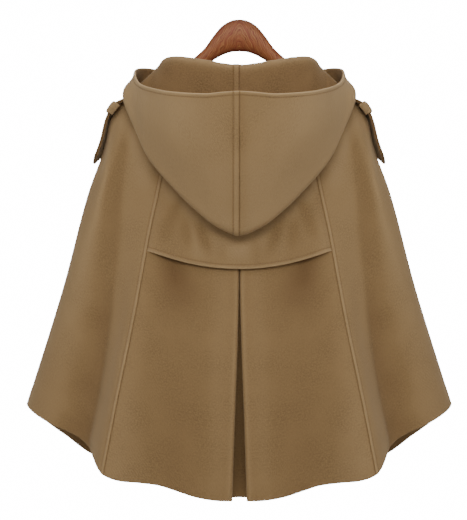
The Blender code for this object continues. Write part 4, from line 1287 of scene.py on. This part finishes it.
def hood_grid():
    """The middle surface of half the hood, its normals, and distances from its edges."""
    spacing = bpy.context.scene.cape_cloth.spacing / MM
    near = np.array(CENTRE_STEPS) / HOOD_DEGREE
    behind = np.linspace(near[-1], HOOD_TURNS_AT, round(235 / spacing))
    before = np.linspace(HOOD_TURNS_AT, HOOD_ENDS_AT, round(215 / spacing))
    places = np.concatenate([near, behind[1:], before[1:]])
    middle, along = [], []
    for place in places:
        knots = hood_section(place)
        steps = np.linalg.norm(np.diff(knots, axis=0), axis=1)
        reach = np.concatenate([[0.0], np.cumsum(steps)])
        close = np.array(CLOSE_STEPS) * min(1.0, reach[-1] / 90)
        stops = close_at_ends(reach[-1], (0.0,), close, round(520 / spacing))
        middle.append(through_rows(np.column_stack([reach, knots]), stops))
        along.append(stops)
    middle, along = np.array(middle), np.array(along)
    normal = unit(np.cross(np.gradient(middle, axis=0), np.gradient(middle, axis=1)))
    normal[0, :, 0] = 0.0
    normal = unit(normal)
    for index, place in enumerate(places):
        out = neck_foot(place)[1]
        normal[index, 0] = out * np.sign(np.dot(out, normal[index, 0]))
    steps = np.linalg.norm(np.diff(middle, axis=0), axis=2)
    across = np.concatenate([np.zeros((1, along.shape[1])), np.cumsum(steps, axis=0)])
    middle[0, :, 0] = -SEAM_OVERLAP
    return SimpleNamespace(
        middle=middle, normal=normal, across=across, along=along, first=across,
        last=across[-1:] - across, end=along[:, -1:] - along, top=along,
    )


class CAPE_OT_hood(bpy.types.Operator):
    """Sew the hood's two halves, which lie on the back as an open pouch"""

    bl_idname = "cape.hood"
    bl_label = "Hood"

    def execute(self, context):
        for side, hand in ((-1, "left"), (1, "right")):
            grid = hood_grid()
            centre = "felled" if side < 0 else "seam"
            rise, rounded, tone = finish_edges(grid, {"first": centre, "end": "turned"})
            calm = ease(grid.along / CALM_HOOD_NECK) * ease(grid.first / CALM_HOOD_SEAM)
            soft, nap = hung_cloth(grid.middle, side, "hood", calm,
                                   grid.along > HOOD_OUTSIDE_FROM)
            outside = grid.middle + grid.normal * (CLOTH / 2 + soft + rise - rounded)[..., None]
            rise_in = np.zeros_like(rise)
            if side < 0:
                felled = 1 - ease((grid.first - CENTRE_INSET) / 0.7)
                rise_in = 0.8 * felled * ease(grid.first)
            inside = grid.middle - grid.normal * (CLOTH / 2 - soft + rise_in - rounded)[..., None]
            outside, inside = mirrored(outside, side), mirrored(inside, side)
            uv = np.stack([grid.across * side, grid.along], -1)
            # Painted highlight on the hood's inside at the top of its roll over the neck; the
            # outside adds its folds' painted light and shade
            height = inside[..., 2].max(axis=1, keepdims=True) - inside[..., 2]
            roll_highlight = 0.45 * bump(height, 9.0) * (grid.along < HOOD_ROLLED_TO)
            made = cloth_piece(f"hood_cloth_{hand}", outside, inside, uv,
                               np.clip(tone + nap, -1, 1), np.clip(tone + roll_highlight, -1, 1))
            paths = [outside[1:, -1 - STITCH_STEP]]
            if side < 0:
                paths.append(outside[8, 6:-3])
            sewn = stitching(f"stitches_hood_{hand}", paths)
            dress(made, f"hood_{hand}")
        return {"FINISHED"}


def strap_frame(side, level):
    """Points on the shoulder line, the directions out of the cloth and along it, and the lean."""
    height, lean = np.moveaxis(through_rows(STRAP_ROWS, level), -1, 0)
    normal = cape_frame(SHOULDER_SEAM, level)[0] * np.array([1.0, 0.0, 1.0])
    normal = unit(normal)
    centre = cape_surface(SHOULDER_SEAM, level) + normal * height[..., None]
    along = np.stack([normal[..., 2], 0 * height, -normal[..., 0]], -1)
    return mirrored(centre, side), mirrored(normal, side), mirrored(along, side), lean


def across_strap(frame_at, y, height):
    """Points y beside a strap's middle, which bends down towards its sides."""
    centre, normal, _, lean = frame_at
    rise = height - y * y / (2 * STRAP_BEND_RADIUS) - lean * y * 2 / STRAP_WIDTH
    sideways = np.array([0.0, 1.0, 0.0]) * (y + 0 * rise)[..., None]
    return centre + normal * rise[..., None] + sideways


def closed_loft(name, rings):
    """A closed tube of rings that come back to the first."""
    rings = np.asarray(rings)
    count, size = rings.shape[:2]
    index = np.arange(count * size).reshape(count, size)
    face = np.stack([index, np.roll(index, -1, 1), np.roll(np.roll(index, -1, 0), -1, 1),
                     np.roll(index, -1, 0)], -1).reshape(-1, 4)
    points = rings.reshape(-1, 3)
    return placed_object(name, facing_out(new_mesh(name, points, face.tolist()), points))


def strap(side, hand):
    """A double-cloth epaulette whose pointed end hangs free."""
    levels = close_at_ends(STRAP_END - STRAP_START, (0.0, 0.0008, 0.0025),
                           np.array(CLOSE_STEPS) / STRAP_LEVEL, 40) + STRAP_START
    y = close_at_ends(STRAP_WIDTH, CLOSE_STEPS, CLOSE_STEPS, 8) - STRAP_WIDTH / 2
    level = np.repeat(levels[:, None], len(y), axis=1)
    frame_at = strap_frame(side, level)
    y = np.repeat(y[None, :], len(levels), axis=0)
    share = np.clip((level - STRAP_POINT_FROM) / (STRAP_END - STRAP_POINT_FROM), 0, 1)
    point = frame_at[2] * (STRAP_POINT * share * (1 - np.abs(y) * 2 / STRAP_WIDTH))[..., None]
    reach = (STRAP_END - level) * STRAP_LEVEL
    grid = SimpleNamespace(first=y + STRAP_WIDTH / 2, last=STRAP_WIDTH / 2 - y, end=reach,
                           across=y, along=-reach)
    kinds = {"first": "strap", "last": "strap", "end": "strap"}
    rise, rounded, tone = finish_edges(grid, kinds)
    rise, rounded = rise * 0.6, rounded * 1.15
    outside = across_strap(frame_at, y, STRAP_THICKNESS + rise - rounded) + point
    inside = across_strap(frame_at, y, rounded) + point
    uv = np.stack([y, level * STRAP_LEVEL], -1)
    made = cloth_piece(f"epaulette_cloth_{hand}", outside, inside, uv, tone, groove=0.7)
    right_side = np.zeros(len(made.data.polygons), int)
    made.data.polygons.foreach_set("material_index", right_side)
    paths = [outside[:-STITCH_STEP, STITCH_STEP], outside[:-STITCH_STEP, -1 - STITCH_STEP],
             outside[-1 - STITCH_STEP, STITCH_STEP:-STITCH_STEP]]
    sewn = stitching(f"stitches_epaulette_{hand}", paths)
    dress(made, f"epaulette_{hand}")


def keeper(side, hand):
    """The folded cloth loop that holds an epaulette."""
    turns = np.linspace(0, 2 * math.pi, KEEPER_SIDES, endpoint=False)
    middle, half = (KEEPER_START + KEEPER_END) / 2, (KEEPER_END - KEEPER_START) / 2
    rings = []
    for turn in turns:
        square = np.sign(math.cos(turn)) * abs(math.cos(turn)) ** KEEPER_SQUARENESS
        level = np.array(middle + half * square)
        thick = 0.5 + 0.5 * np.sign(math.sin(turn)) * abs(math.sin(turn)) ** KEEPER_SQUARENESS
        clear = KEEPER_CLEAR + KEEPER_WALL * thick
        frame_at = strap_frame(side, level)
        y = np.linspace(-1, 1, 25)
        corner = STRAP_WIDTH / 2 + clear
        place = np.sin(y * math.pi / 2) * corner
        cut = clear * KEEPER_CORNER * (np.abs(place) / corner) ** 14
        over, under = STRAP_THICKNESS + clear - cut, cut - clear
        top = np.array([across_strap(frame_at, p, np.array(h)) for p, h in zip(place, over)])
        low = np.array([across_strap(frame_at, p, np.array(h)) for p, h in zip(place, under)])
        rings.append(np.concatenate([top, low[::-1]]))
    rings = np.array(rings)
    made = closed_loft(f"keeper_cloth_{hand}", rings)
    mesh = made.data
    size = rings.shape[1]
    number = np.array([loop.vertex_index for loop in mesh.loops])
    layer = mesh.uv_layers.new(name="cloth")
    uv = np.stack([(number % size) * 1.6, (number // size) * 2.6], -1) * MM
    layer.data.foreach_set("uv", uv.ravel())
    tone = mesh.attributes.new("tone", "FLOAT", "POINT")
    # Painted light: the keeper is painted lighter, most on its rounded upper and lower turns as a
    # painted highlight
    shade = np.repeat(0.35 + 0.4 * np.abs(np.cos(turns)) ** 3, size)
    tone.data.foreach_set("value", shade)
    mesh.materials.append(wool(False))
    dress(made, f"keeper_{hand}")


class CAPE_OT_straps(bpy.types.Operator):
    """Sew the epaulettes and their keepers"""

    bl_idname = "cape.straps"
    bl_label = "Epaulettes"

    def execute(self, context):
        for side, hand in ((-1, "left"), (1, "right")):
            strap(side, hand)
            keeper(side, hand)
        return {"FINISHED"}


def hanger_ring(x, sides):
    """One rounded section of the hanger, and how close each of its points is to an edge."""
    top, bottom, thickness = through_rows(HANGER_ROWS, abs(x))
    middle, half = (top + bottom) / 2, (top - bottom) / 2
    turn = 2 * np.pi * (np.arange(sides) + 0.5) / sides
    power = 2 / HANGER_SQUARENESS
    y = np.sign(np.cos(turn)) * np.abs(np.cos(turn)) ** power * thickness / 2
    z = np.sign(np.sin(turn)) * np.abs(np.sin(turn)) ** power * half + middle
    return np.stack([x + 0 * y, y, z + top - z.max()], -1), -np.abs(np.sin(turn)) ** 4


class CAPE_OT_hanger(bpy.types.Operator):
    """Shape the wooden hanger"""

    bl_idname = "cape.hanger"
    bl_label = "Hanger"

    def execute(self, context):
        arm = np.linspace(HANGER_NECK, HANGER_TIP, 40)
        half = np.concatenate([np.linspace(0, HANGER_NECK, 38), arm[1:]])
        stations = np.concatenate([-half[:0:-1], half])
        sides = 44
        made = [hanger_ring(x, sides) for x in stations]
        points = np.concatenate([ring for ring, _ in made])
        tones = np.concatenate([tone for _, tone in made])
        index = np.arange(len(points)).reshape(len(stations), sides)
        ahead = np.roll(index, -1, 1)
        faces = np.stack([index[:-1], ahead[:-1], ahead[1:], index[1:]], -1).reshape(-1, 4)
        faces = faces.tolist() + [index[0][::-1].tolist(), index[-1].tolist()]
        mesh = facing_out(new_mesh("wooden_hanger", points, faces), points)
        mesh.attributes.new("tone", "FLOAT", "POINT").data.foreach_set("value", tones)
        mesh.materials.append(varnished_beech())
        wooden = dress(placed_object("wooden_hanger", mesh), "hanger")
        return {"FINISHED"}


def turned_button():
    """A button with a raised rim and four holes, lying flat at the origin, in metres."""
    radius, top = BUTTON_DIAMETER / 2, BUTTON_THICKNESS
    profile = (
        (0.0, top - BUTTON_DISH), (radius * 0.5, top - BUTTON_DISH), (radius * 0.62, top - 1.5),
        (radius * 0.69, top - 0.7), (radius * 0.75, top - 0.1), (radius * 0.82, top),
        (radius * 0.9, top - 0.1), (radius * 0.97, top * 0.75), (radius, top * 0.5),
        (radius * 0.95, top * 0.2), (radius * 0.8, 0.0), (0.0, 0.0),
    )
    points = [(r, 0.0, h) for r, h in profile]
    edges = [(i, i + 1) for i in range(len(points) - 1)]
    made = placed_object("button", new_mesh("button", points, [], edges))
    screw = made.modifiers.new("turned", "SCREW")
    screw.steps = screw.render_steps = 56
    screw.use_merge_vertices = True
    screw.merge_threshold = 0.00001
    screw.use_normal_calculate = True
    cutters = []
    for index in range(4):
        turn = math.radians(45 + 90 * index)
        reach = BUTTON_HOLE_SPACING / math.sqrt(2) * MM
        bpy.ops.mesh.primitive_cylinder_add(
            vertices=20, radius=BUTTON_HOLE / 2 * MM, depth=0.03,
            location=(reach * math.cos(turn), reach * math.sin(turn), 0.0),
        )
        cutters.append(bpy.context.object)
        hole = made.modifiers.new(f"hole_{index}", "BOOLEAN")
        hole.object = cutters[-1]
    plain_mesh(made)
    for cutter in cutters:
        bpy.data.objects.remove(cutter)
    mesh = made.data
    bpy.data.objects.remove(made)
    mesh.shade_smooth()
    mesh.set_sharp_from_angle(angle=math.radians(38))
    mesh.materials.clear()
    mesh.materials.append(polished_horn())
    return mesh


def thread_tube(path, radius, sides=6):
    """Rings of a thread along a path, as points and faces in millimetres."""
    path = np.asarray(path, float)
    ahead = unit(np.gradient(path, axis=0))
    side = unit(np.cross(ahead, np.array([0.31, 0.17, 0.93])))
    up = np.cross(side, ahead)
    turn = 2 * np.pi * np.arange(sides) / sides
    ring = side[:, None] * np.cos(turn)[:, None] + up[:, None] * np.sin(turn)[:, None]
    points = (path[:, None] + ring * radius).reshape(-1, 3)
    index = np.arange(len(points)).reshape(len(path), sides)
    round_it = np.roll(index, -1, 1)
    faces = np.stack([index[:-1], round_it[:-1], round_it[1:], index[1:]], -1).reshape(-1, 4)
    return points, faces.tolist() + [index[0][::-1].tolist(), index[-1].tolist()]


def thread_object(name, paths, radius):
    """Threads along several paths as one object."""
    points, faces = [], []
    for path in paths:
        start = sum(len(p) for p in points)
        more, sides = thread_tube(path, radius)
        points.append(more)
        faces += [[start + i for i in face] for face in sides]
    mesh = new_mesh(name, np.concatenate(points), faces)
    mesh.shade_smooth()
    mesh.materials.append(topstitch_thread())
    return placed_object(name, mesh)


def button_seat(level):
    """A button's place on the right front, with the directions across, up and out as columns."""
    out = cape_frame(CENTRE_FRONT, np.array(level))[0]
    seat = cape_surface(CENTRE_FRONT, np.array(level)) + out * (CLOTH + LAYER_GAP)
    across = np.array([1.0, 0.0, 0.0])
    return seat, np.stack([across, np.cross(out, across), out], 1)


def seated(points, seat_at, lift):
    """Points of a flat button laid on its seat."""
    seat, basis = seat_at
    return np.asarray(points) @ basis.T + seat + basis[:, 2] * lift


def button_threads(seat_at):
    """Paths of the doubled threads that cross a button's dish."""
    hole = BUTTON_HOLE_SPACING / 2
    arc = np.linspace(0, math.pi, 9)
    paths = []
    for first, second in (((-hole, -hole), (hole, hole)), ((-hole, hole), (hole, -hole))):
        lie = np.linspace(first, second, len(arc))
        path = np.column_stack([lie, BUTTON_THICKNESS - BUTTON_DISH + 0.2 + 0.7 * np.sin(arc)])
        path[0, 2] = path[-1, 2] = 0.4
        for aside in (-0.35, 0.35):
            paths.append(seated(path + np.array([aside, 0.0, 0.0]), seat_at, SEAM_GAP))
    return paths


def buttonhole_thread(seat_at):
    """Path of the close zigzag stitches round a buttonhole."""
    turns = np.linspace(0, 2 * math.pi, HOLE_TURNS)
    zigzag = np.where(np.arange(HOLE_TURNS) % 2 == 0, HOLE_NEAR, HOLE_FAR)
    x = np.clip(HOLE_REACH * 1.15 * np.cos(turns), -HOLE_REACH, HOLE_REACH)
    y = zigzag * np.sign(np.sin(turns)) * np.minimum(1, np.abs(np.sin(turns)) * 2.2)
    return seated(np.column_stack([x + HOLE_ASIDE, y, 0 * x + 0.35]), seat_at, 0.0)


class CAPE_OT_buttons(bpy.types.Operator):
    """Sew on the buttons and work their buttonholes"""

    bl_idname = "cape.buttons"
    bl_label = "Buttons"

    def execute(self, context):
        button = turned_button()
        for number, level in enumerate(BUTTON_LEVELS, 1):
            seat_at = button_seat(level)
            mesh = button.copy()
            mesh.name = f"horn_button_{number}"
            flat = np.empty(len(mesh.vertices) * 3)
            mesh.vertices.foreach_get("co", flat)
            placed = seated(flat.reshape(-1, 3) / MM, seat_at, SEAM_GAP) * MM
            mesh.vertices.foreach_set("co", placed.ravel())
            mesh.update()
            made = dress(placed_object(mesh.name, mesh), f"button_{number}")
            paths = [*button_threads(seat_at), buttonhole_thread(seat_at)]
            sewn = dress(thread_object(f"button_thread_{number}", paths, BUTTON_THREAD))
        return {"FINISHED"}


def area_light(name, place, size, power):
    """A large soft light that looks at the coat's middle."""
    data = bpy.data.lights.new(name, "AREA")
    data.shape = "RECTANGLE"
    data.size, data.size_y = size
    data.energy = power
    made = placed_object(name, data)
    made.location = place
    direction = np.array(LIGHTS_AIM) - np.array(place)
    level = math.hypot(direction[0], direction[1])
    made.rotation_euler = (math.atan2(level, -direction[2]), 0.0,
                           math.atan2(direction[1], direction[0]) - math.pi / 2)
    made.visible_camera = False


class CAPE_OT_studio(bpy.types.Operator):
    """Set out the floor, backdrop, lights and camera"""

    bl_idname = "cape.studio"
    bl_label = "Studio"

    def execute(self, context):
        studio = context.scene.cape_studio
        world = bpy.data.worlds.new("studio")
        context.scene.world = world
        world.use_nodes = True
        tree = world.node_tree
        tree.nodes.clear()
        light = add_node(tree, "ShaderNodeBackground", {0: (1.0, 1.0, 1.0, 1.0),
                                                        1: studio.ambient})
        add_node(tree, "ShaderNodeOutputWorld", links={0: light.outputs[0]})

        bpy.ops.mesh.primitive_circle_add(
            vertices=96, radius=FLOOR_RADIUS, fill_type="NGON",
            location=(0, 0, studio.floor_height),
        )
        floor = context.object
        floor.name = "floor"
        material, tree = new_material("pale matt floor paint")
        place = add_node(tree, "ShaderNodeTexCoord").outputs["Object"]
        haze = add_node(tree, "ShaderNodeTexNoise", {"Scale": 1.2}, {"Vector": place}).outputs[0]
        pale = tuple(studio.floor)
        body = blend(tree, haze, pale, tuple(c * 0.97 for c in pale))
        shade(tree, {"Roughness": 0.85}, {"Base Color": body})
        floor.data.materials.append(material)

        bpy.ops.mesh.primitive_uv_sphere_add(
            segments=48, ring_count=24, radius=BACKDROP_RADIUS
        )
        backdrop = context.object
        backdrop.name = "backdrop"
        backdrop.data.flip_normals()
        material, tree = new_material("lit white backdrop")
        glow = add_node(tree, "ShaderNodeEmission", {1: studio.backdrop})
        add_node(tree, "ShaderNodeOutputMaterial", links={"Surface": glow.outputs[0]})
        backdrop.data.materials.append(material)
        for sight in ("visible_diffuse", "visible_glossy", "visible_transmission",
                      "visible_shadow"):
            setattr(backdrop, sight, False)

        area_light("key", (0.0, -2.5, 0.95), (2.0, 0.9), studio.key)
        area_light("top", (0.0, -1.1, 2.2), (1.8, 0.9), studio.top)
        area_light("fill_left", (-2.6, -1.2, 1.1), (1.2, 1.2), studio.fill)
        area_light("fill_right", (2.6, -1.2, 1.1), (1.2, 1.2), studio.fill)
        area_light("front", (0.4, 2.8, 1.1), (2.4, 1.4), studio.key * 0.8)

        view = bpy.data.cameras.new("camera")
        view.sensor_fit = "VERTICAL"
        view.sensor_height = SENSOR_HEIGHT
        view.lens = SENSOR_HEIGHT * CAMERA_DISTANCE / PHOTO_HEIGHT
        camera = placed_object("camera", view)
        camera.location = (CAMERA_X, -CAMERA_DISTANCE, CAMERA_Z)
        camera.rotation_euler = (math.pi / 2, 0.0, 0.0)
        context.scene.camera = camera
        return {"FINISHED"}


STEPS = (CAPE_OT_studio, CAPE_OT_hanger, CAPE_OT_back, CAPE_OT_sides, CAPE_OT_fronts,
         CAPE_OT_hood, CAPE_OT_straps, CAPE_OT_buttons)
SETTINGS = {"cape_cloth": CapeClothSettings, "cape_stitches": CapeStitchSettings,
            "cape_trim": CapeTrimSettings, "cape_studio": CapeStudioSettings}


class CAPE_PT_panel(bpy.types.Panel):
    """Lists the coat's settings and pieces."""

    bl_label = "Cape Coat"
    bl_idname = "CAPE_PT_panel"
    bl_space_type = "VIEW_3D"
    bl_region_type = "UI"
    bl_category = "Cape Coat"

    def draw(self, context):
        for name, group in SETTINGS.items():
            box = self.layout.box()
            for field in group.__annotations__:
                box.prop(getattr(context.scene, name), field)
        for step in STEPS:
            self.layout.operator(step.bl_idname)


def register():
    for group in SETTINGS.values():
        bpy.utils.register_class(group)
    for name, group in SETTINGS.items():
        setattr(bpy.types.Scene, name, bpy.props.PointerProperty(type=group))
    for step in (*STEPS, CAPE_PT_panel):
        bpy.utils.register_class(step)


def unregister():
    for step in (CAPE_PT_panel, *reversed(STEPS)):
        bpy.utils.unregister_class(step)
    for name, group in SETTINGS.items():
        delattr(bpy.types.Scene, name)
        bpy.utils.unregister_class(group)


def main():
    register()
    for step in STEPS:
        group, name = step.bl_idname.split(".")
        getattr(getattr(bpy.ops, group), name)()


if __name__ == "__main__":
    main()
